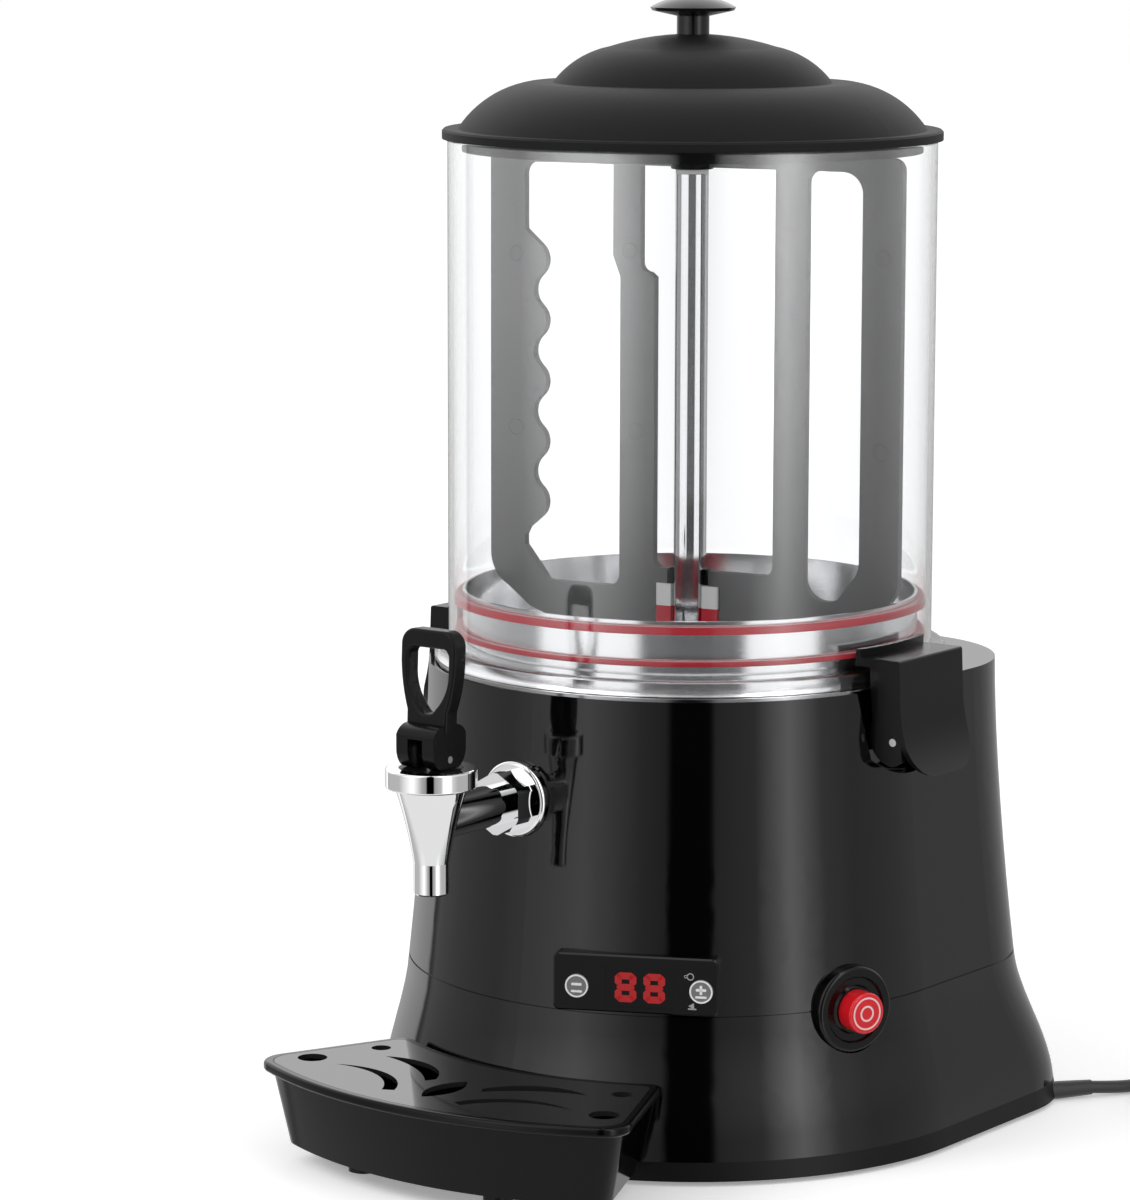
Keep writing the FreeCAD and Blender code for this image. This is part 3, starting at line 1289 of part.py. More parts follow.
def latch_right():
    roof_low = LATCH_ROOF_Z
    bulge_z = LATCH_PIN_Z + 4
    outer = upright([
        (LATCH_X - 1.5, LATCH_TOP), [(LATCH_X - 0.4, LATCH_TOP - 0.4), (LATCH_X, LATCH_TOP - 1.5)],
        (LATCH_X + 0.8, LATCH_PIN_Z + 20),
        [(LATCH_X + 3.4, bulge_z - 2), (LATCH_TIP_X, LATCH_TIP_Z)],
        (LATCH_TIP_X - LATCH_PLATE * 0.9, LATCH_TIP_Z),
        [(LATCH_X + 3.2 - LATCH_PLATE, bulge_z - 4), (LATCH_X + 0.8 - LATCH_PLATE, LATCH_PIN_Z + 20)],
        (LATCH_X - LATCH_PLATE, roof_low), (BOWL_R - 10, roof_low), (BOWL_R - 10, LATCH_TOP)])
    outer.translate(V(0, -LATCH_HALF, 0))
    plate = outer.extrude(V(0, 2 * LATCH_HALF, 0))
    near = BOWL_R / 2
    above = LATCH_TOP + 2 * LATCH_LIP
    nip = LATCH_CORNER * (1 - math.sqrt(0.5))
    front = Part.Face(path([
        (near, -LATCH_HALF, above), (near, -LATCH_HALF, LATCH_TIP_Z + LATCH_CORNER),
        [(near, -LATCH_HALF + nip, LATCH_TIP_Z + nip), (near, -LATCH_HALF + LATCH_CORNER, LATCH_TIP_Z)],
        (near, LATCH_HALF - LATCH_CORNER, LATCH_TIP_Z),
        [(near, LATCH_HALF - nip, LATCH_TIP_Z + nip), (near, LATCH_HALF, LATCH_TIP_Z + LATCH_CORNER)],
        (near, LATCH_HALF, above), (near, -LATCH_HALF, above)]))
    plate = plate.common(front.extrude(V(BOWL_R, 0, 0)))
    lip_in = BOWL_R + GAP
    lip = tube(lip_in + LATCH_LIP_T, lip_in, roof_low, LATCH_TOP + LATCH_LIP)
    lip = lip.common(box(near, LATCH_X, -LATCH_HALF, LATCH_HALF, roof_low, above))
    latch = plate.cut(cyl(lip_in, roof_low - 5, above)).fuse(lip)
    cheek = upright([
        (LATCH_CHEEK_X, roof_low + 1), (LATCH_CHEEK_X, LATCH_TOP - 12),
        (LATCH_PIN_X - LATCH_CAM_R * 0.97, LATCH_PIN_Z + 9),
        [(LATCH_PIN_X - LATCH_CAM_R * 0.72, LATCH_PIN_Z - LATCH_CAM_R * 0.69),
         (LATCH_PIN_X, LATCH_PIN_Z - LATCH_CAM_R)],
        (LATCH_X + 2.2, LATCH_PIN_Z - LATCH_CAM_R + 3), (LATCH_X - 0.6, LATCH_PIN_Z + 20),
        (LATCH_X - 1.2, roof_low + 1)])
    for y in (-LATCH_HALF, LATCH_HALF - LATCH_CHEEK):
        side = cheek.copy()
        side.translate(V(0, y, 0))
        latch = latch.fuse(side.extrude(V(0, LATCH_CHEEK, 0)))
    return latch.cut(along_latch(LATCH_PIN_R + FIT, 1)).removeSplitter()


def along_latch(radius, proud):
    """Cylinder on the right latch's pivot, standing proud of its cheeks."""
    end = LATCH_HALF + proud
    return rod(radius, (LATCH_PIN_X, -end, LATCH_PIN_Z), (LATCH_PIN_X, end, LATCH_PIN_Z))


def latch_pins():
    pin = along_latch(LATCH_PIN_R, GAP)
    return Part.makeCompound([pin, mirrored(pin)])


def latch_brackets():
    """Ear that carries each latch's pin, standing out of the pocket between the cheeks."""
    reach = LATCH_PIN_R + 1
    ear = upright([
        (POCKET_X, LATCH_PIN_Z - 7), (LATCH_PIN_X - 2, LATCH_PIN_Z - reach),
        [(LATCH_PIN_X + reach, LATCH_PIN_Z), (LATCH_PIN_X - 2, LATCH_PIN_Z + reach)],
        (POCKET_X, LATCH_PIN_Z + 7)])
    ear.translate(V(0, -BRACKET_HALF, 0))
    ear = ear.extrude(V(0, 2 * BRACKET_HALF, 0))
    inside = BRACKET_HALF - BRACKET_WALL
    ear = ear.cut(box(POCKET_X + BRACKET_WALL, LATCH_TIP_X, -inside, inside,
                      LATCH_PIN_Z - LATCH_CAM_R, LATCH_PIN_Z + LATCH_CAM_R))
    ear = ear.cut(along_latch(LATCH_PIN_R, 0))
    return Part.makeCompound([ear, mirrored(ear)])


# ---------------------------------------------------------------- control panel and switch


def panel_bezel():
    block = box(-PANEL_HALF, PANEL_HALF, -PANEL_FACE, -PANEL_FACE + PANEL_DEPTH,
                PANEL_Z, PANEL_Z + PANEL_H)
    corners = [e for e in block.Edges if abs(e.Vertexes[0].Y - e.Vertexes[-1].Y) > 1]
    block = block.makeFillet(PANEL_CORNER, corners)
    face = [e for e in block.Edges if all(v.Y < -PANEL_FACE + 0.01 for v in e.Vertexes)]
    block = block.makeChamfer(0.8, face)
    before, behind = -PANEL_FACE - PANEL_PROUD, -PANEL_FACE + PANEL_DEPTH + 1
    for u in (BUTTON_LEFT, BUTTON_RIGHT):
        block = block.cut(rod(BUTTON_R + FIT, (u, before, BUTTON_Z), (u, behind, BUTTON_Z)))
    block = block.cut(box(LENS_MID - LENS_HALF, LENS_MID + LENS_HALF, before,
                          -PANEL_FACE + LENS_T, LENS_Z, LENS_Z + LENS_H))
    block = block.cut(box(LENS_MID - LENS_HALF + 1, LENS_MID + LENS_HALF - 1, before,
                          behind, LENS_Z + 1, LENS_Z + LENS_H - 1))
    return swung(block, PANEL_TURN).cut(shell_outer())


def display_lens():
    lens = box(LENS_MID - LENS_HALF, LENS_MID + LENS_HALF, -PANEL_FACE + 0.2,
               -PANEL_FACE + LENS_T, LENS_Z, LENS_Z + LENS_H)
    return swung(lens, PANEL_TURN)


def control_board():
    face = -PANEL_FACE + BOARD_DEPTH
    mid = PANEL_Z + PANEL_H / 2
    half = PANEL_HALF - BOARD_INSET
    board = box(-half, half, face, face + BOARD_T, mid - BOARD_H / 2, mid + BOARD_H / 2)
    block = box(LENS_MID - LENS_HALF + 2, LENS_MID + LENS_HALF - 2, -PANEL_FACE + LENS_T + 1,
                face, LENS_Z + 2, LENS_Z + LENS_H - 2)
    return swung(board.fuse(block).removeSplitter(), PANEL_TURN)


def panel_button(u):
    front = -PANEL_FACE - BUTTON_PROUD
    cap = rod(BUTTON_R, (u, front, BUTTON_Z), (u, front + BUTTON_L, BUTTON_Z))
    rim = [e for e in cap.Edges if e.Vertexes[0].Y < front + 0.01 and e.Length > BUTTON_R * 4]
    cap = cap.makeFillet(0.8, rim)
    rear = -PANEL_FACE + BOARD_DEPTH - BUTTON_TRAVEL - GAP
    stem = rod(BUTTON_STEM_R, (u, front + BUTTON_L - 1, BUTTON_Z), (u, rear, BUTTON_Z))
    return swung(cap.fuse(stem).removeSplitter(), PANEL_TURN)


def switch_bezel():
    depth = SWITCH_T
    knob = SWITCH_KNOB_R + FIT
    ring = turned([
        (knob, -SWITCH_DEPTH), (SWITCH_BARREL_R, -SWITCH_DEPTH), (SWITCH_BARREL_R, 0),
        (SWITCH_R, 0), (SWITCH_R, depth - 2), [(SWITCH_R - 0.6, depth - 0.6), (SWITCH_R - 2, depth)],
        (SWITCH_R - 5, depth), (SWITCH_R - 6, depth - 1.2), (knob + 2, depth - 1.2),
        (knob + 1, depth), (knob, depth)])
    back = cyl(SWITCH_BARREL_R, -SWITCH_DEPTH - 3, -SWITCH_DEPTH)
    ring = ring.fuse(back).removeSplitter()
    ring.rotate(V(0, 0, 0), V(1, 0, 0), 90)
    ring.translate(V(0, -SWITCH_BACK, SWITCH_Z))
    return swung(ring, SWITCH_TURN)


def switch_button():
    near = SWITCH_BACK - SWITCH_DEPTH + SWITCH_TRAVEL + GAP
    knob = rod(SWITCH_KNOB_R, (0, -near, SWITCH_Z), (0, -SWITCH_KNOB_FACE, SWITCH_Z))
    rim = [e for e in knob.Edges
           if e.Vertexes[0].Y < -SWITCH_KNOB_FACE + 0.01 and e.Length > SWITCH_KNOB_R * 4]
    return swung(knob.makeFillet(1.2, rim), SWITCH_TURN)


# ---------------------------------------------------------------- drip tray


def tray_plan(inset, z):
    """Plan of the tray drawn in by inset, as a face at height z."""
    radius = TRAY_ARC - inset
    centre_y = -TRAY_FRONT + TRAY_ARC
    disc = Part.Face(Part.Wire(Part.makeCircle(radius, V(0, centre_y, z))))
    slope = math.tan(math.radians(TRAY_SIDE_DEG))
    step = inset / math.cos(math.radians(TRAY_SIDE_DEG))
    y0, y1 = -TRAY_FRONT - 20, -90
    x0 = TRAY_HALF - step - slope * (y0 + TRAY_SIDE_Y)
    x1 = TRAY_HALF - step - slope * (y1 + TRAY_SIDE_Y)
    sides = flat([(-x0, y0), (x0, y0), (x1, y1), (-x1, y1)], z)
    back = outline(TRAY_TOP - TRAY_RIM_T)[0] + TRAY_GAP
    hollow = Part.Face(Part.Wire(Part.makeCircle(back + inset, V(0, 0, z))))
    return disc.common(sides).cut(hollow)


def tray_wire(inset, z):
    """The tray's plan with its corners rounded, as a wire at height z."""
    block = tray_plan(inset, z).extrude(V(0, 0, 1)).Solids[0]
    front = upright_edges(block, lambda p: p.y < -TRAY_SIDE_Y)
    block = block.makeFillet(TRAY_CORNER - TRAY_CORNER_EASE * inset, front)
    rear = upright_edges(block, lambda p: p.y > -TRAY_SIDE_Y + 15 and abs(p.x) > 50)
    block = block.makeFillet(max(TRAY_REAR_CORNER - inset / 2, 1.0), rear)
    return min(block.Faces, key=lambda f: f.CenterOfMass.z).OuterWire


def tray_block(inset, z0, z1):
    return Part.Face(tray_wire(inset, z0)).extrude(V(0, 0, z1 - z0))


def tray_taper(inset, z0, z1):
    """Tapered block under the rim, drawn in by inset at its top and by TRAY_DRAFT more below."""
    return Part.makeLoft([tray_wire(inset + TRAY_DRAFT, z0), tray_wire(inset, z1)], True, True)


def drip_tray():
    rim_low = TRAY_TOP - TRAY_RIM_T
    rim = tray_block(0, rim_low, TRAY_TOP)
    rim = rim.makeFillet(TRAY_ROLL, [e for e in rim.Edges if e.BoundBox.ZLength < 0.01])
    tray = rim.fuse(tray_taper(TRAY_OVERHANG, TRAY_FOOT, rim_low + 1))
    tray = tray.cut(tray_taper(TRAY_OVERHANG + TRAY_WALL, TRAY_FOOT + TRAY_WALL, TRAY_TOP - GRID_T + 0.1))
    tray = tray.cut(tray_block(TRAY_RIM_W, TRAY_TOP - GRID_T, TRAY_TOP + 1))
    return tray.removeSplitter()


def crescent(outer, tip, inner):
    """Horn-shaped slot between two arcs; y counts from the tray's front; with its mirror image."""
    face = flat([outer[0], [outer[1], outer[2]], tip, [inner, outer[0]]], TRAY_TOP - 2 * GRID_T)
    face.translate(V(0, -TRAY_FRONT, 0))
    horn = face.extrude(V(0, 0, 4 * GRID_T))
    return [horn, mirrored(horn)]


def drip_grid():
    grid = tray_block(TRAY_RIM_W + GRID_GAP, TRAY_TOP - GRID_T, TRAY_TOP)
    low, high = TRAY_TOP - 2 * GRID_T, TRAY_TOP + GRID_T
    cuts = []
    for x, y, radius in ((91, 47, 7.5), (75.5, 83, 5.0)):
        for side in (-1, 1):
            cuts.append(cyl(radius, low, high, side * x, y - TRAY_FRONT))
    cuts += crescent([(-74, 44), (-44, 46.2), (-18.5, 22.4)], (-24.3, 19.6), (-42.5, 39.4))
    cuts += crescent([(-63.3, 71.2), (-38.5, 72.8), (-14.8, 50.8)], (-17.5, 45.5), (-37, 61.8))
    leaf = flat([(0, 21), [(-7.5, 39), (0, 56.5)], [(7.5, 39), (0, 21)]], low)
    leaf.translate(V(0, -TRAY_FRONT, 0))
    cuts.append(leaf.extrude(V(0, 0, high - low)))
    return grid.cut(cuts)


# ---------------------------------------------------------------- mains lead

# Route of the lead from the strain relief's tip to the coil, then from the coil to the plug.
LEAD = [
    relief_axis(RELIEF_L), (174.6, 149.0, 4.0), (181.0, 162.2, CORD_FLOOR),
    (187.4, 176.6, CORD_FLOOR), (*COIL_ENTRY, CORD_FLOOR)]
TAIL = [
    (282.9, 169.0, CORD_FLOOR + CORD_D), (283.0, 156.2, 10.6), (283.5, 143.4, 14.0),
    (284.0, 130.9, 18.0), (*PLUG_AT, PLUG_R)]


def smooth_route(points):
    """Straight runs joined by tangent arcs, each as large as its two runs allow."""
    corners = [V(*p) for p in points]
    edges = []
    radii = []
    here = corners[0]
    for i in range(1, len(corners) - 1):
        before = corners[i] - corners[i - 1]
        after = corners[i + 1] - corners[i]
        shorter = min(before.Length, after.Length)
        turn = before.getAngle(after)
        radius = 0.45 * shorter / math.tan(turn / 2)
        radii.append(radius)
        cut = 0.45 * shorter
        start = corners[i] - before * (cut / before.Length)
        end = corners[i] + after * (cut / after.Length)
        inward = (after * (1 / after.Length) - before * (1 / before.Length))
        inward.normalize()
        mid = corners[i] + inward * (radius / math.cos(turn / 2) - radius)
        edges.append(Part.LineSegment(here, start).toShape())
        edges.append(Part.Arc(start, mid, end).toShape())
        here = end
    edges.append(Part.LineSegment(here, corners[-1]).toShape())
    return Part.Wire(edges), radii


def cord_tube(points):
    wire, radii = smooth_route(points)
    start = V(*points[0])
    along = V(*points[1]) - start
    ring = Part.Wire(Part.makeCircle(CORD_D / 2, start, along))
    solid = wire.makePipeShell([ring], True, False)
    section = math.pi * (CORD_D / 2) ** 2
    print("cord radii", [round(r, 1) for r in radii], "length", round(wire.Length, 1),
          "volume ratio", round(solid.Volume / (section * wire.Length), 4))
    return solid


def cord_coil():
    """Outer shape of the neat coil: flat turns side by side in a few layers."""
    outer = COIL_TURN_R + COIL_COLUMNS * CORD_D / 2
    inner = COIL_TURN_R - COIL_COLUMNS * CORD_D / 2
    entry = math.radians(COIL_ENTRY_DEG)
    reach = outer - CORD_D / 2
    x = COIL_ENTRY[0] + reach * math.sin(entry)
    y = COIL_ENTRY[1] - reach * math.cos(entry)
    low = CORD_FLOOR - CORD_D / 2
    ring = tube(outer, inner, low, low + COIL_LAYERS * CORD_D, x, y)
    return ring.makeFillet(CORD_D / 2 - 0.3, [e for e in ring.Edges if e.Length > 100])


def cord_gland():
    sleeve = relief_body()
    return sleeve.cut(rod(CORD_D / 2, relief_axis(-RELIEF_IN - 1), relief_axis(-1)))


def power_plug():
    """Round two-pin plug lying on its side, its pins towards the front."""
    body = turned([
        (0, 0), (5.2, 0), (6.0, 8), [(9.5, 13), (15.5, 16)], (PLUG_R - 1, 18), (PLUG_R, 19.5),
        (PLUG_R, PLUG_L), (0, PLUG_L)])
    pins = [cyl(PLUG_PIN_R, PLUG_L - 2, PLUG_L + PLUG_PIN_L, side * PLUG_PIN_PITCH / 2, 0)
            for side in (-1, 1)]
    plug = body.fuse(pins).removeSplitter()
    plug.rotate(V(0, 0, 0), V(1, 0, 0), 90)
    plug.translate(V(*PLUG_AT, PLUG_R))
    return plug


put("base_pan", base_pan())
put("rubber_feet", rubber_feet())
put("base_screws", base_screws())
put("base_skirt", base_skirt())
put("upper_shell", upper_shell())
put("vessel", vessel())
put("bath_tank", bath_tank())
put("outlet_sump", outlet_sump())
put("heater_element", heater_element())
put("thermostat", thermostat())
put("bowl", bowl())
put("bowl_gasket", bowl_gasket())
put("lid_shell", lid_shell())
put("lid_knob", lid_knob())
put("lid_screw", lid_screw())
put("standpipe", standpipe())
put("shaft_bushes", shaft_bushes())
put("drive_shaft", drive_shaft())
put("gearbox", gearbox())
put("mixer_motor", mixer_motor())
put("motor_bracket", motor_bracket())
put("terminal_block", terminal_block())
put("paddle", paddle())
put("paddle_hub", paddle_hub())
put("paddle_nut", paddle_nut())
put("paddle_bush", paddle_bush())
put("guide_blocks", guide_blocks())
put("wiper_tips", wiper_tips())
put("tap_body", tap_body())
put("tap_flange", tap_flange())
put("tap_nut", tap_nut())
put("tap_gasket", tap_gasket())
put("tap_collar", tap_collar())
put("tap_bonnet", tap_bonnet())
put("tap_stem", tap_stem())
put("tap_pin", tap_pin())
put("tap_seal", tap_seal())
put("tap_spring", tap_spring())
put("tap_handle", tap_handle())
put("latch_right", latch_right())
put("latch_left", mirrored(latch_right()))
put("latch_pins", latch_pins())
put("latch_brackets", latch_brackets())
put("panel_bezel", panel_bezel())
put("display_lens", display_lens())
put("control_board", control_board())
put("button_left", panel_button(BUTTON_LEFT))
put("button_right", panel_button(BUTTON_RIGHT))
put("switch_bezel", switch_bezel())
put("switch_button", switch_button())
put("drip_tray", drip_tray())
put("drip_grid", drip_grid())
put("cord_gland", cord_gland())
put("power_cord", Part.makeCompound([cord_tube(LEAD), cord_tube(TAIL)]))
put("cord_coil", cord_coil())
put("power_plug", power_plug())
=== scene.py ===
import math

import bmesh
import bpy
from mathutils import Matrix, Vector


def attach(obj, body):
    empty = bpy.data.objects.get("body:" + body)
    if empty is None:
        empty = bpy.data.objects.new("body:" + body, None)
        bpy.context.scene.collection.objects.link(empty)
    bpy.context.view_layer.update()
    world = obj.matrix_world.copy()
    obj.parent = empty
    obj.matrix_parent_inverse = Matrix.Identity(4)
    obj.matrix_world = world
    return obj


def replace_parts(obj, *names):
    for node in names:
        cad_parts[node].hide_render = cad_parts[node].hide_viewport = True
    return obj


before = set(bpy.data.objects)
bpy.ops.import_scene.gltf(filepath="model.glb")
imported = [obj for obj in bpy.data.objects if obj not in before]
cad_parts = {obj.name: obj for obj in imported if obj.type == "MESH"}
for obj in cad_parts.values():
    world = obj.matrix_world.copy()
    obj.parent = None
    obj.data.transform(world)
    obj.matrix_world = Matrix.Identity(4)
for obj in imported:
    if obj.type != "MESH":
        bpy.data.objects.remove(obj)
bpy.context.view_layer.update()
bpy.context.scene.view_settings.view_transform = "Standard"


# Camera: a long lens a little above counter height, in front of the dispenser and to its right,
# close enough that the tray and the knob just fill the frame.
def add(name, data):
    """A new object in the scene."""
    made = bpy.data.objects.new(name, data)
    bpy.context.scene.collection.objects.link(made)
    return made


camera_lens = bpy.data.cameras.new("camera")
camera_lens.lens = 138.5
camera_lens.sensor_width = 36.0
camera_lens.clip_end = 50.0
camera = add("camera", camera_lens)
camera.location = (1.36073, -1.89741, 0.64120)
camera.rotation_euler = (math.radians(81.055), math.radians(-0.103), math.radians(36.608))
bpy.context.scene.camera = camera


# Mains lead: a 6.8 mm black rubber-sheathed flex. It leaves the base at the right rear corner
# through a moulded relief, and its spare length is wound into a neat coil with the plug beside it.
class Wire:
    """An output socket, with the arithmetic that the finishes are written in."""

    def __init__(self, shading, socket):
        self.shading = shading
        self.socket = socket

    def maths(self, operation, *others):
        """A Math node that takes this value first."""
        values = dict(enumerate((self, *others)))
        return self.shading.node("Math", {"operation": operation}, values)

    def __add__(self, other):
        return self.maths("ADD", other)

    def __sub__(self, other):
        return self.maths("SUBTRACT", other)

    def __rsub__(self, other):
        return self.shading.node("Math", {"operation": "SUBTRACT"}, {0: other, 1: self})

    def __mul__(self, other):
        return self.maths("MULTIPLY", other)

    def __truediv__(self, other):
        return self.maths("DIVIDE", other)

    __radd__ = __add__
    __rmul__ = __mul__

    def dot(self, vector):
        values = {0: self, 1: vector}
        return self.shading.node("VectorMath", {"operation": "DOT_PRODUCT"}, values, "Value")

    def climb(self, start, end, bottom=0.0):
        """Goes from bottom to 1 as the value goes from start to end."""
        values = {"value": self, "from_min": start, "from_max": end, "to_min": bottom}
        return self.shading.node("MapRange", {}, values)

    def within(self, low, high, soft=0.0002):
        """1 where the value lies between low and high, with soft edges."""
        return self.climb(low - soft, low + soft) * (1.0 - self.climb(high - soft, high + soft))


class Shading:
    """A node tree; node() adds any node to it."""

    def __init__(self, tree):
        self.tree = tree

    def feed(self, node, values):
        for key, value in values.items():
            if isinstance(key, str):
                key = key.replace("_", " ").title().replace("Ior", "IOR")
            socket = node.inputs[key]
            if isinstance(value, Wire):
                self.tree.links.new(value.socket, socket)
            elif socket.type == "RGBA" and len(value) == 3:
                socket.default_value = (*value, 1.0)
            else:
                socket.default_value = value

    def node(self, kind, settings, values, output=0):
        made = self.tree.nodes.new("ShaderNode" + kind)
        for name, value in settings.items():
            setattr(made, name, value)
        self.feed(made, values)
        return Wire(self, made.outputs[output])

    def coordinates(self, kind):
        return self.node("TexCoord", {}, {}, kind)

    def ray(self, kind):
        return self.node("LightPath", {}, {}, kind)

    def ramp(self, value, stops):
        """A colour ramp through (place, colour) stops."""
        made = self.node("ValToRGB", {}, {0: value})
        elements = made.socket.node.color_ramp.elements
        for place, colour in stops[2:]:
            elements.new(place)
        for element, (place, colour) in zip(elements, stops):
            element.position = place
            element.color = (*colour, 1.0)
        return made


class Finish(Shading):
    """A material; its values go on the shader's own sockets."""

    def __init__(self, name, **values):
        self.material = bpy.data.materials.new(name)
        self.material.use_nodes = True
        super().__init__(self.material.node_tree)
        self.shader = self.tree.nodes["Principled BSDF"]
        self.vary(**values)

    def vary(self, **values):
        self.feed(self.shader, values)

    def along(self):
        """X, Y and Z of the place on the piece, in metres."""
        place = self.coordinates("Object")
        return [self.node("SeparateXYZ", {}, {"vector": place}, axis) for axis in "XYZ"]

    def noise(self, scale, detail=2.0, stretch=(1.0, 1.0, 1.0)):
        place = self.coordinates("Object")
        where = self.node("Mapping", {}, {"vector": place, "scale": stretch})
        return self.node("TexNoise", {}, {"vector": where, "scale": scale, "detail": detail})

    def bump(self, height, depth):
        self.vary(normal=self.node("Bump", {}, {"height": height, "distance": depth}))

    def mixed(self, mask, first, second):
        return self.node("Mix", {"data_type": "RGBA"}, {0: mask, 6: first, 7: second}, 2)


def dress(finish, *names):
    """Gives CAD nodes their finish."""
    for name in names:
        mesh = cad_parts[name].data
        mesh.materials.clear()
        mesh.materials.append(finish.material)


cord_width = 0.0068
floor_rest = 0.0035
cord_start = [
    (0.16567, 0.18104, 0.0052), (0.1746, 0.1930, 0.0040), (0.1810, 0.2062, 0.0035),
    (0.1874, 0.2206, 0.0035),
]
cord_end = [
    (0.2829, 0.2130, 0.0103), (0.2830, 0.2002, 0.0106), (0.2835, 0.1874, 0.0140),
    (0.2840, 0.1749, 0.0180), (0.2842, 0.1630, 0.0185),
]
coil_x, coil_y = 0.23612, 0.21303
coil_radii = (0.0468, 0.0400, 0.0332, 0.0332, 0.0400, 0.0468)
lower_turns = 3
coil_first_angle = math.radians(152.0)
coil_turns = 5 + 152.0 / 360.0
points_a_turn = 16

coil = []
for step in range(int(coil_turns * points_a_turn)):
    turn = step / points_a_turn
    whole = int(turn)
    # The last quarter of each turn crosses to the next radius, and once to the upper layer.
    change = max(0.0, (turn - whole) * 4 - 3)
    after = min(whole + 1, len(coil_radii) - 1)
    radius = coil_radii[whole] * (1 - change) + coil_radii[after] * change
    layer = (whole >= lower_turns) + (change if whole == lower_turns - 1 else 0.0)
    angle = coil_first_angle - math.tau * turn
    coil.append((coil_x + radius * math.cos(angle), coil_y + radius * math.sin(angle),
                 floor_rest + cord_width * layer))

route = cord_start + coil + cord_end
line = bpy.data.curves.new("mains_lead", "CURVE")
line.dimensions = "3D"
spline = line.splines.new("NURBS")
spline.points.add(len(route) - 1)
for point, where in zip(spline.points, route):
    point.co = (*where, 1.0)
spline.order_u = 3
spline.use_endpoint_u = True
spline.resolution_u = 6
line.bevel_depth = cord_width / 2
line.bevel_resolution = 6
line.use_fill_caps = True
mains_lead = add("mains_lead", line)

sheath = Finish("rubber sheath", base_color=(0.012, 0.012, 0.012))
grain = sheath.noise(900.0)
sheath.vary(roughness=grain * 0.12 + 0.36)
sheath.bump(grain, 0.00005)
line.materials.append(sheath.material)

mains_lead.visible_glossy = False
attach(mains_lead, "housing")
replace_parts(mains_lead, "power_cord", "cord_coil")
dress(sheath, "cord_gland")

# Floor: a wide white counter top. It is lit evenly and keeps the soft shadow under the machine,
# and what gloss mirrors is the studio behind it.
flat = bmesh.new()
bmesh.ops.create_grid(flat, x_segments=1, y_segments=1, size=12.0)
floor_mesh = bpy.data.meshes.new("floor")
flat.to_mesh(floor_mesh)
flat.free()
floor = add("floor", floor_mesh)
floor_paint = Finish("white counter top", roughness=0.9, specular_IOR_level=0.0)
viewed = floor_paint.ray("Is Camera Ray").maths("MAXIMUM", floor_paint.ray("Is Transmission Ray"))
floor_paint.vary(
    base_color=floor_paint.mixed(viewed, (0.8, 0.8, 0.8), (1.0, 1.0, 1.0)),
    emission_color=floor_paint.mixed(viewed, (0.0, 0.0, 0.0), (1.0, 1.0, 1.0)),
    emission_strength=0.28)
mirrored = floor_paint.ray("Glossy Depth").maths("MINIMUM", 1.0)
paint = Wire(floor_paint, floor_paint.shader.outputs[0])
gone = floor_paint.node("BsdfTransparent", {}, {})
surface = floor_paint.node("MixShader", {}, {0: mirrored, 1: paint, 2: gone})
floor_paint.feed(floor_paint.tree.nodes["Material Output"], {"surface": surface})
floor_mesh.materials.append(floor_paint.material)

# Studio: white all round, with two soft lamps. What gloss mirrors is a room of soft boxes, each
# list giving (degrees from the studio's front, brightness), with a dark gap straight ahead. Steel
# in the bowl has a room of its own, and the bowl's wall a strong sheen from high boxes.
world = bpy.data.worlds.new("studio")
world.use_nodes = True
world.cycles.sampling_method = "NONE"
bpy.context.scene.world = world
studio = Shading(world.node_tree)
room = [
    (-180, 0.25), (-134, 1.2), (-132, 0.1), (-128, 0.5), (-85, 0.52), (-46, 1.25), (-22, 0.45),
    (-11, 0.3), (-9, 0.0), (8, 0.0), (10, 0.36), (27, 0.55), (42, 2.3), (57, 0.7), (72, 0.47),
    (165, 0.47), (180, 0.25),
]
bowl_room = [
    (-180, 0.3), (-150, 0.9), (-105, 0.4), (-84, 0.35), (-78, 1.3), (-29, 1.3), (-24, 0.1),
    (24, 0.1), (28, 1.3), (62, 1.3), (68, 0.2), (90, 0.15), (120, 0.6), (180, 0.3),
]
high_boxes = [
    (-180, 0.7), (-135, 0.9), (-115, 2.6), (-90, 3.0), (-50, 13.5), (-22, 3.2), (-12, 2.0),
    (-7, 0.0), (9, 0.0), (15, 2.2), (25, 4.0), (44, 11.0), (65, 4.3), (98, 1.9), (118, 2.0),
    (140, 0.8), (180, 0.7),
]
studio_front = (0.5958, -0.8031, 0.0)
studio_right = (0.8031, 0.5958, 0.0)
counter_level = 0.85
ceiling_limit = 1.5
second_mirror_level = 1.5
scattered_loss = 0.22

direction = studio.coordinates("Generated")
ahead = direction.dot(studio_front)
around = direction.dot(studio_right).maths("ARCTAN2", ahead) / math.tau + 0.5
rise = studio.node("SeparateXYZ", {}, {"vector": direction}, "Z")


def boxes(levels):
    """The brightness round the room, from its list."""
    brightest = max(level for angle, level in levels)
    stops = [((angle + 180) / 360, (level / brightest,) * 3) for angle, level in levels]
    return studio.ramp(around, stops) * brightest


# Open room: walls that brighten upwards, the counter below, and a ceiling behind the machine.
walls = boxes(room) * (rise.climb(0.05, 0.35) * 0.6 + 1.0)
ceiling = (rise * 5.0 + 0.2).maths("MINIMUM", ceiling_limit)
lifted = walls + rise.climb(0.02, 0.1) * ahead.climb(-0.3, -0.6) * (ceiling - walls)
open_room = lifted + rise.climb(-0.42, -0.52) * (counter_level - lifted)

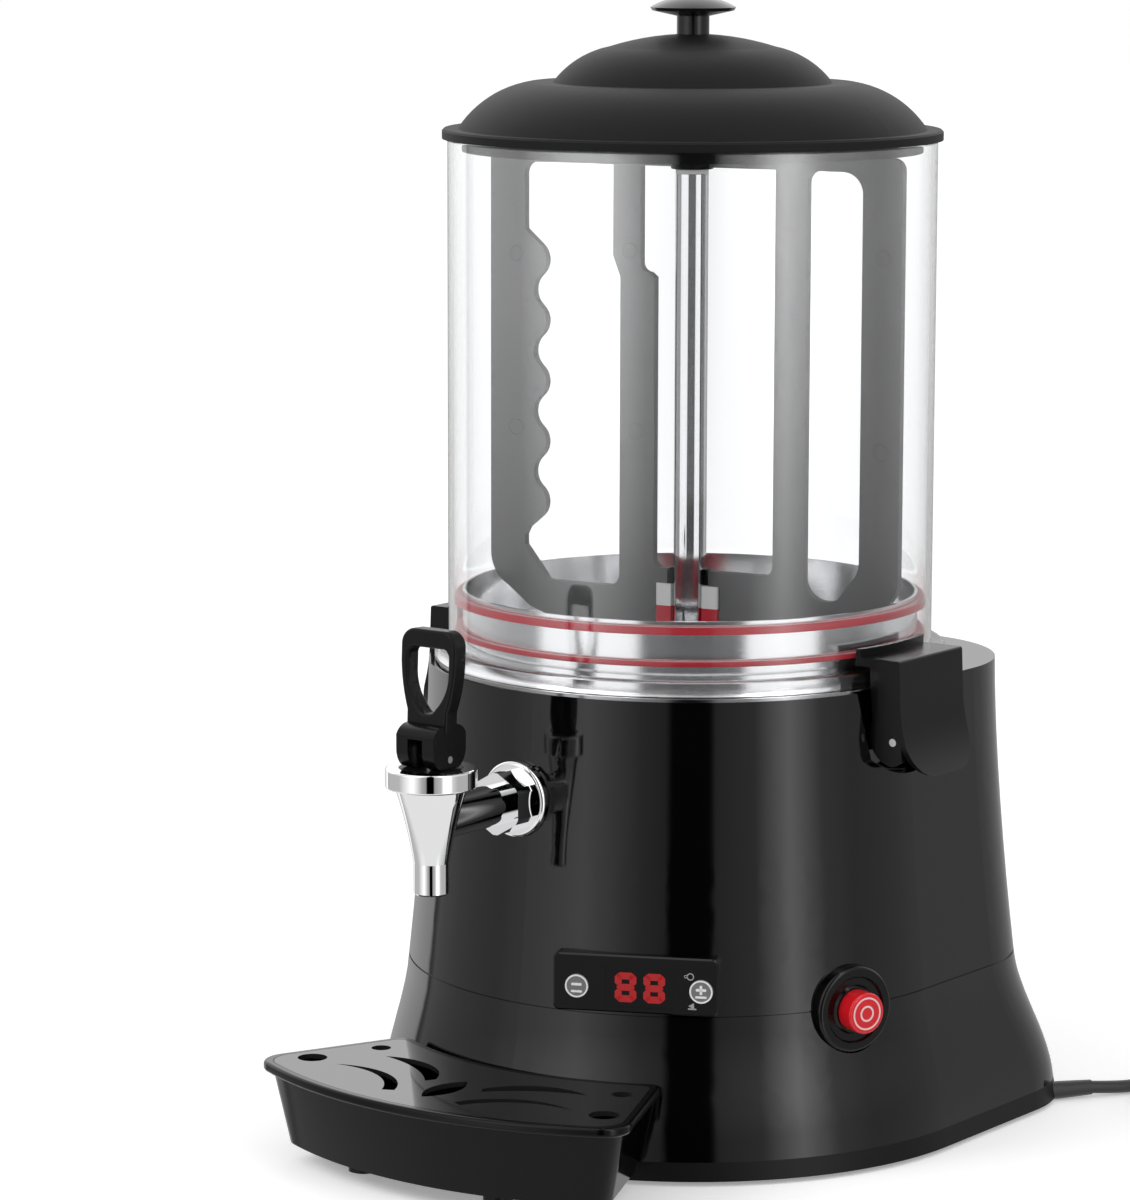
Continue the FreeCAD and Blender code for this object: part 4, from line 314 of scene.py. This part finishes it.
# In the bowl: rays that have crossed its wall, whose straight reflections carry the sheen.
crossings = studio.ray("Transmission Depth")
inside = crossings.maths("MINIMUM", 1.0)
bounces = studio.ray("Glossy Depth")
again = bounces.maths("GREATER_THAN", 1.5)
steel_room = boxes(bowl_room)
steel_room = steel_room + again * (second_mirror_level - steel_room)
unscattered = 1.0 - studio.ray("Diffuse Depth").maths("MINIMUM", 1.0)
sheen = unscattered * (1.0 - again) * crossings.maths("LESS_THAN", 2.5)
fading = rise.climb(-0.17, -0.06, bottom=0.1)
steel_room = steel_room + sheen * (boxes(high_boxes) * fading - steel_room)
mirrored_room = open_room + inside * (steel_room - open_room)

plain = 1.0 - studio.ray("Is Diffuse Ray") * scattered_loss
strength = bounces.maths("MINIMUM", 1.0) * (mirrored_room - plain) + plain
background = {"color": (1.0, 1.0, 1.0), "strength": strength}
studio.feed(world.node_tree.nodes["Background"], background)

lamp_aim = Vector((0.0, 0.0, 0.25))
for name, place, power in (("key", (-1.2, -2.0, 1.8), 18.0), ("fill", (2.2, -0.6, 1.4), 8.0)):
    light = bpy.data.lights.new(name, "AREA")
    light.size = 1.2
    light.energy = power
    lamp = add(name, light)
    lamp.location = place
    lamp.rotation_euler = (lamp_aim - Vector(place)).to_track_quat("-Z", "Y").to_euler()
    lamp.visible_glossy = False

# Base pan: satin black plastic on four black rubber feet. Zinc-plated screws come up through it
# into the housing.
pan_black = Finish("satin black plastic", base_color=(0.004, 0.004, 0.0042),
                   specular_IOR_level=0.2)
fine = pan_black.noise(1400.0)
pan_black.vary(roughness=fine * 0.1 + 0.33)
pan_black.bump(fine, 0.00003)
dress(pan_black, "base_pan", "tap_bonnet")

foot_rubber = Finish("foot rubber", base_color=(0.02, 0.02, 0.02), roughness=0.7)
foot_rubber.bump(foot_rubber.noise(800.0), 0.00005)
dress(foot_rubber, "rubber_feet", "tap_gasket")

zinc = Finish("zinc plate", base_color=(0.58, 0.58, 0.6), metallic=1.0)
zinc.vary(roughness=zinc.noise(300.0) * 0.2 + 0.22)
dress(zinc, "base_screws", "lid_screw", "latch_pins", "tap_pin")

# Housing: a flared skirt and an upper shell, moulded in glossy black plastic and joined along a
# fine shadow line.
gloss_black = Finish("gloss black plastic", base_color=(0.0015, 0.0015, 0.0016))
gloss_black.vary(roughness=gloss_black.noise(9.0) * 0.04 + 0.045)
gloss_black.bump(gloss_black.noise(55.0), 0.00001)
dress(gloss_black, "base_skirt", "upper_shell")

# Vessel, water bath and sump: pressed stainless steel, brushed round the axis. The tubular heater
# lies in the bath, with a thermostat under it.
steel = Finish("stainless steel", base_color=(0.74, 0.74, 0.75), metallic=1.0)
x, y, z = steel.along()
spun = steel.node("CombineXYZ", {}, {"x": (x * x + y * y).maths("SQRT"), "z": z})
rings = steel.node("TexNoise", {}, {"vector": spun, "scale": 900.0, "detail": 3.0})
steel.vary(roughness=rings * 0.12 + 0.08)
steel.bump(rings, 0.00001)
dress(steel, "vessel", "bath_tank", "outlet_sump", "motor_bracket")

heater_steel = Finish("heat-tinted steel", metallic=1.0, roughness=0.3)
tint = heater_steel.mixed(heater_steel.noise(25.0), (0.32, 0.27, 0.22), (0.5, 0.49, 0.5))
heater_steel.vary(base_color=tint)
dress(heater_steel, "heater_element")

# Drive under the vessel: a geared motor on a steel bracket, with its terminal block and the
# control board behind the panel.
motor_grey = Finish("cast alloy", base_color=(0.34, 0.34, 0.35), metallic=0.9)
cast = motor_grey.noise(500.0, 4.0)
motor_grey.vary(roughness=cast * 0.2 + 0.35)
motor_grey.bump(cast, 0.0001)
dress(motor_grey, "gearbox", "mixer_motor", "thermostat")

board_green = Finish("circuit board lacquer", roughness=0.35)
lacquer = board_green.mixed(board_green.noise(700.0), (0.01, 0.09, 0.035), (0.02, 0.14, 0.05))
board_green.vary(base_color=lacquer)
dress(board_green, "control_board")

white = Finish("white low-friction plastic", base_color=(0.80, 0.80, 0.78), roughness=0.42)
white.bump(white.noise(500.0), 0.00003)
dress(white, "shaft_bushes", "guide_blocks", "terminal_block")

# Clear bowl: one moulded tube of polycarbonate with a thick turned-out foot, open at both ends.
# It stands on the vessel's flange and the latches hold its foot down.
axis_y = 0.044
zero, upward = (0.0, 0.0, 0.0), (0.0, 0.0, 1.0)


def band(inner, outer, low, high):
    """Section of a flat ring."""
    return [(inner, low), (outer, low), (outer, high), (inner, high)]


def lathe(profile, steps=160, soften=0.0):
    """Ring turned about Z from (radius, height) pairs in millimetres; soften rounds its edges."""
    made = bmesh.new()
    corners = [made.verts.new((r / 1000, 0.0, h / 1000)) for r, h in profile]
    edges = [made.edges.new(pair) for pair in zip(corners, corners[1:] + corners[:1])]
    bmesh.ops.spin(made, geom=corners + edges, cent=zero, axis=upward, dvec=zero,
                   angle=math.tau, steps=steps, use_merge=True)
    bmesh.ops.remove_doubles(made, verts=made.verts, dist=0.000001)
    if soften:
        made.normal_update()
        sharp = [e for e in made.edges
                 if len(e.link_faces) == 2 and e.calc_face_angle() > math.radians(40)]
        bmesh.ops.bevel(made, geom=sharp, offset=soften / 1000, segments=3, profile=0.5,
                        affect="EDGES", material=-1)
    return made


def on_axis(made):
    """Moves a ring onto the bowl's axis."""
    bmesh.ops.translate(made, verts=made.verts, vec=(0.0, axis_y, 0.0))
    return made


def put(made, name, finish, body, smooth=40.0):
    """Makes the finished mesh an object that rides on a body."""
    bmesh.ops.recalc_face_normals(made, faces=made.faces)
    mesh = bpy.data.meshes.new(name)
    made.to_mesh(mesh)
    made.free()
    mesh.polygons.foreach_set("use_smooth", [True] * len(mesh.polygons))
    mesh.set_sharp_from_angle(angle=math.radians(smooth))
    mesh.materials.append(finish.material)
    placed = add(name, mesh)
    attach(placed, body)
    return placed


clear = Finish("clear polycarbonate", base_color=(0.985, 0.99, 0.995), IOR=1.5,
               transmission_weight=1.0)
clear.vary(roughness=clear.noise(6.0) * 0.01)
wall_inside, wall_outside, foot_outside = 122.4, 125.4, 132.5
foot_bottom, foot_top, bowl_top = 239.4, 247.5, 507.5
section = [(wall_inside, foot_bottom), (foot_outside, foot_bottom), (foot_outside, foot_top)]
section += [(wall_outside, h) for h in (foot_top, 249.0, 300.0, 450.0, 506.0, bowl_top)]
section += [(wall_inside, h) for h in (bowl_top, 506.0, 450.0, 300.0, 241.0)]
bowl_shape = on_axis(lathe(section, steps=192, soften=0.5))
clear_bowl = put(bowl_shape, "clear_bowl", clear, "housing")
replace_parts(clear_bowl, "bowl")

# Seals: two rings of translucent red silicone, stretched over the vessel's wall inside the bowl's
# foot. Each is a flat band with a rounded lip.
silicone = Finish("red silicone", base_color=(0.62, 0.015, 0.035), subsurface_weight=0.15)
silicone.vary(roughness=silicone.noise(200.0) * 0.1 + 0.28)
vessel_wall, seal_lip = 118.0, 122.35
for name, low, tall in (("seal_upper", 269.8, 3.9), ("seal_lower", 253.8, 2.6)):
    ring = on_axis(lathe(band(vessel_wall, seal_lip, low, low + tall), soften=0.7))
    seal = put(ring, name, silicone, "housing")
    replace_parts(seal, "bowl_gasket")

# Lid and knob: black plastic with a fine spark-eroded grain on the lid. The knob is smoother, and
# a screw from inside holds it.
lid_black = Finish("grained black plastic", base_color=(0.004, 0.004, 0.004),
                   specular_IOR_level=0.2)
spark = lid_black.noise(2200.0)
lid_black.vary(roughness=spark * 0.12 + 0.5)
lid_black.bump(spark, 0.00008)
dress(lid_black, "lid_shell")

knob_black = Finish("polished black plastic", base_color=(0.007, 0.007, 0.007))
knob_black.vary(roughness=knob_black.noise(60.0) * 0.08 + 0.14)
dress(knob_black, "lid_knob")

# Standpipe and drive shaft: bright drawn stainless tube, its grain along its length, with a
# ground shaft inside it and a steel nut on top.
pipe_steel = Finish("polished steel tube", base_color=(0.78, 0.78, 0.79), metallic=1.0)
drawn = pipe_steel.noise(300.0, 2.0, (1.0, 1.0, 0.02))
pipe_steel.vary(roughness=drawn * 0.06 + 0.05)
dress(pipe_steel, "standpipe", "drive_shaft", "paddle_nut")

# Paddle: satin grey polypropylene, moulded flat, with round ejector marks on its bars. Its grey is
# painted lighter towards the top and the left as painted light, and its edge faces darker as
# painted shade. It hangs on the shaft, and white blocks with red wipers guide it round the pipe's
# foot.
ejector_marks = (
    (-100.7, 445.3), (-100.7, 354.2), (-34.2, 448.9), (-30.5, 355.5), (107.0, 450.3),
    (107.0, 352.0),
)
mark_inner, mark_outer = 0.0036, 0.0044
lean = math.radians(9.6)
paddle_grey = Finish("grey polypropylene")
x, y, z = paddle_grey.along()
run = x * math.cos(lean) + (y - axis_y) * math.sin(lean)
marks = 0.0
for mark_run, mark_height in ejector_marks:
    across = run - mark_run / 1000
    above = z - mark_height / 1000
    marks += (across * across + above * above).maths("SQRT").within(mark_inner, mark_outer)
# Painted light: the face grows lighter towards the top and towards the left, as if lit from there.
painted_light_upper_left = run.climb(0.040, -0.060) * (z.climb(0.26, 0.50) * 0.58 + 0.42)
face = paddle_grey.mixed(painted_light_upper_left, (0.055, 0.055, 0.056), (0.20, 0.20, 0.202))
# Painted shade: faces that lie edge-on to the paddle's broad sides are painted darker.
broadside = paddle_grey.coordinates("Normal").dot((-math.sin(lean), math.cos(lean), 0.0))
edge = broadside.maths("ABSOLUTE").maths("LESS_THAN", 0.6)
paddle_grey.vary(
    base_color=paddle_grey.mixed(edge, face, (0.03, 0.03, 0.031)),
    roughness=paddle_grey.noise(30.0) * 0.12 + 0.34)
paddle_grey.bump(marks + paddle_grey.noise(700.0) * 0.1, 0.0003)
dress(paddle_grey, "paddle")
dress(silicone, "wiper_tips")

# Hub: a black nylon boss at the paddle's top bar. A thin white thrust washer under it rides on
# the pipe's end.
hub_black = Finish("black hub nylon", base_color=(0.003, 0.003, 0.0032), specular_IOR_level=0.2)
hub_black.vary(roughness=hub_black.noise(400.0) * 0.1 + 0.3)
shaft_bore, hub_bottom, hub_top = 4.05, 492.0, 498.5
section = [(shaft_bore, hub_bottom), (11.0, hub_bottom), (11.0, 495.5), (8.0, hub_top),
           (shaft_bore, hub_top)]
hub = on_axis(lathe(section, steps=72, soften=0.5))
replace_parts(put(hub, "hub_boss", hub_black, "mixer"), "paddle_hub")
washer = on_axis(lathe(band(shaft_bore, 8.5, 489.6, 491.9), steps=72, soften=0.4))
put(washer, "thrust_washer", white, "mixer")

# Collar: a split black nylon ring that clips the paddle's foot round the pipe from behind, with
# a sloped shoulder at its top.
collar_black = Finish("black collar nylon", base_color=(0.004, 0.004, 0.0042),
                      specular_IOR_level=0.2)
collar_black.vary(roughness=collar_black.noise(400.0) * 0.1 + 0.35)
collar_start, collar_sweep = math.radians(5.0), math.radians(200.0)
collar = bmesh.new()
section = [(8.7, 276.8), (12.0, 276.8), (12.0, 283.3), (10.0, 285.3), (8.7, 285.3)]
ends = [collar.verts.new((r / 1000, 0.0, h / 1000)) for r, h in section]
collar.faces.new(ends)
bmesh.ops.rotate(collar, verts=ends, cent=zero, matrix=Matrix.Rotation(collar_start, 3, "Z"))
bmesh.ops.spin(collar, geom=collar.verts[:] + collar.edges[:] + collar.faces[:], cent=zero,
               axis=upward, dvec=zero, angle=collar_sweep, steps=50)
paddle_collar = put(on_axis(collar), "paddle_collar", collar_black, "mixer")
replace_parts(paddle_collar, "paddle_bush")

# Tap: a chrome-plated brass body, nut, flange and ring. A black lever lifts the stem through its
# cam, and a spring shuts it on a red seal.
chrome = Finish("chrome plate", base_color=(0.88, 0.88, 0.89), metallic=1.0)
chrome.vary(roughness=chrome.noise(20.0) * 0.03 + 0.02)
dress(chrome, "tap_body", "tap_flange", "tap_nut", "tap_collar")
dress(steel, "tap_stem", "tap_spring")
dress(silicone, "tap_seal")

lever_black = Finish("black nylon", base_color=(0.003, 0.003, 0.0032), specular_IOR_level=0.2)
lever_grain = lever_black.noise(1100.0)
lever_black.vary(roughness=lever_grain * 0.1 + 0.2)
lever_black.bump(lever_grain, 0.00003)
dress(lever_black, "tap_handle", "latch_right", "latch_left", "latch_brackets")


# Display: a black glass lens flush in the bezel, with two red digits and small white marks printed
# beside them.
def bar(length, width, depth, point=0.45):
    """Flat bar along X with pointed ends, its face towards +Z, in millimetres."""
    made = bmesh.new()
    bmesh.ops.create_cube(made, size=1.0)
    size = (length / 1000, width / 1000, depth / 1000)
    bmesh.ops.scale(made, verts=made.verts, vec=size)
    upright = [e for e in made.edges if abs(e.verts[0].co.z - e.verts[1].co.z) > depth / 2000]
    bmesh.ops.bevel(made, geom=upright, offset=width * point / 1000, segments=1, profile=0.5,
                    affect="EDGES", material=-1)
    return made


def join(target, source, across=0.0, up=0.0, out=0.0, turn=0.0):
    """Adds one bmesh to another, turned in its plane and then moved, in degrees and mm."""
    move = Matrix.Translation((across / 1000, up / 1000, out / 1000))
    swivel = Matrix.Rotation(math.radians(turn), 4, "Z")
    bmesh.ops.transform(source, matrix=move @ swivel, verts=source.verts)
    carrier = bpy.data.meshes.new("carrier")
    source.to_mesh(carrier)
    source.free()
    target.from_mesh(carrier)
    bpy.data.meshes.remove(carrier)


def facing(made, turn, reach, across, height):
    """Stands a piece drawn face up on the housing's front, turned round the bowl's axis."""
    move = Matrix.Translation((across / 1000, -reach / 1000, height / 1000))
    swing = Matrix.Translation((0.0, axis_y, 0.0)) @ Matrix.Rotation(math.radians(turn), 4, "Z")
    stand = Matrix.Rotation(math.pi / 2, 4, "X")
    bmesh.ops.transform(made, matrix=swing @ move @ stand, verts=made.verts)


trim_black = Finish("polished black trim", base_color=(0.002, 0.002, 0.0021),
                    specular_IOR_level=0.3)
trim_black.vary(roughness=trim_black.noise(300.0) * 0.05 + 0.12)
dress(trim_black, "panel_bezel", "switch_bezel")

lens_dark = Finish("smoked acrylic", base_color=(0.002, 0.0018, 0.0018), specular_IOR_level=0.3)
lens_dark.vary(roughness=lens_dark.noise(40.0) * 0.05 + 0.06)
dress(lens_dark, "display_lens")

panel_turn, panel_height = 25.0, 97.0
digit_red = Finish("lit red digits", base_color=(0.12, 0.002, 0.003), roughness=0.4,
                   emission_strength=0.75)
glow = digit_red.mixed(digit_red.noise(900.0), (0.40, 0.010, 0.012), (0.27, 0.006, 0.008))
digit_red.vary(emission_color=glow)
digit_w, digit_h, stroke, digit_depth = 10.9, 15.0, 3.5, 0.3
level_bar, upright_bar = digit_w - stroke * 0.5, digit_h / 2 - stroke * 0.35
segments = [(0, up * (digit_h - stroke) / 2, level_bar, 0) for up in (1, 0, -1)]
segments += [(side * (digit_w - stroke) / 2, up * digit_h / 4, upright_bar, 90)
             for side in (-1, 1) for up in (-1, 1)]
digits = bmesh.new()
for middle in (-4.8, 9.6):
    for across, up, length, turn in segments:
        join(digits, bar(length, stroke, digit_depth), middle + across, up, turn=turn)
facing(digits, panel_turn, 148.05, 0.0, panel_height)
put(digits, "display_digits", digit_red, "housing", smooth=20.0)

print_white = Finish("screen-printed white", roughness=0.6)
ink = print_white.mixed(print_white.noise(1500.0), (0.30, 0.30, 0.30), (0.42, 0.42, 0.42))
print_white.vary(base_color=ink)
ink_depth = 0.12
symbols = bmesh.new()
join(symbols, lathe(band(1.35, 1.85, 0.0, ink_depth), steps=28), 27.7, 6.9)
join(symbols, lathe(band(0.5, 0.85, 0.0, ink_depth), steps=20), 25.4, 6.9)
drop = bmesh.new()
bmesh.ops.create_cone(drop, cap_ends=True, cap_tris=False, segments=3, radius1=0.0019,
                      radius2=0.0019, depth=ink_depth / 1000)
join(symbols, drop, 28.7, -7.9, ink_depth / 2, turn=90.0)
join(symbols, bar(4.4, 0.7, ink_depth), 28.7, -9.4, ink_depth / 2)
facing(symbols, panel_turn, 148.02, 0.0, panel_height)
put(symbols, "panel_symbols", print_white, "housing", smooth=20.0)

# Panel buttons: brushed alloy caps with a raised rim and an embossed sign, minus on the left one
# and plus on the right.
button_alloy = Finish("brushed alloy", metallic=0.6)
streak = button_alloy.noise(400.0, 3.0, (1.0, 1.0, 12.0))
button_alloy.vary(
    base_color=button_alloy.mixed(streak, (0.16, 0.16, 0.165), (0.30, 0.30, 0.31)),
    roughness=streak * 0.2 + 0.25)
dress(button_alloy, "button_left", "button_right")

emboss = Finish("raised bright edge", base_color=(0.92, 0.92, 0.93), metallic=0.3)
emboss.vary(roughness=emboss.noise(500.0) * 0.1 + 0.25)
sign_depth, blunt = 0.3, 0.2
for side, across in (("left", -29.3), ("right", 33.3)):
    sign = lathe(band(5.0, 5.8, 0.0, 0.25), steps=48)
    join(sign, bar(5.6, 1.1, sign_depth, blunt), up=-2.7, out=sign_depth / 2)
    join(sign, bar(5.2, 1.3, sign_depth, blunt), up=0.9, out=sign_depth / 2)
    if side == "right":
        join(sign, bar(4.6, 1.3, sign_depth, blunt), up=0.9, out=sign_depth / 2, turn=90.0)
    facing(sign, panel_turn, 149.38, across, 96.8)
    put(sign, "button_sign_" + side, emboss, side + "_button", smooth=30.0)

# Power switch: a stepped black bezel round a translucent red push knob, whose face carries two
# printed rings.
switch_red = Finish("translucent red plastic", base_color=(0.72, 0.012, 0.02),
                    subsurface_weight=0.3)
switch_red.vary(roughness=switch_red.noise(80.0) * 0.06 + 0.14)
dress(switch_red, "switch_button")
marks_white = Finish("pale pink print", roughness=0.35)
pink = marks_white.mixed(marks_white.noise(900.0), (0.80, 0.50, 0.50), (0.86, 0.62, 0.62))
marks_white.vary(base_color=pink)
ring_depth, switch_turn, switch_height = 0.15, 69.0, 81.5
rings = lathe(band(7.4, 8.3, 0.0, ring_depth), steps=56)
join(rings, lathe(band(3.1, 4.1, 0.0, ring_depth), steps=40))
facing(rings, switch_turn, 160.0, 0.0, switch_height)
put(rings, "switch_rings", marks_white, "power_button", smooth=30.0)

# Drip tray and its lift-out grid: glossy black plastic like the housing's, with the grid a shade
# lighter than the tray.
grid_black = Finish("gloss black grid", base_color=(0.018, 0.018, 0.0185))
grid_black.vary(roughness=grid_black.noise(30.0) * 0.03 + 0.04)
dress(grid_black, "drip_grid")
tray_black = Finish("moulded black tray", base_color=(0.0015, 0.0015, 0.0016),
                    specular_IOR_level=0.2)
tray_black.vary(roughness=tray_black.noise(12.0) * 0.05 + 0.08)
dress(tray_black, "drip_tray")

# Plug: a moulded rubber body with two bright pins, which start where the body's face ends. The
# housing's gloss mirrors neither the plug nor the lead.
plug_finish = Finish("plug rubber and pins", roughness=0.4)
x, y, z = plug_finish.along()
plug_face = 0.118
pins = y.within(-1.0, plug_face)
plug_finish.vary(
    base_color=plug_finish.mixed(pins, (0.012, 0.012, 0.012), (0.7, 0.66, 0.5)), metallic=pins)
plug_finish.bump(plug_finish.noise(900.0), 0.00005)
dress(plug_finish, "power_plug")
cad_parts["power_plug"].visible_glossy = False
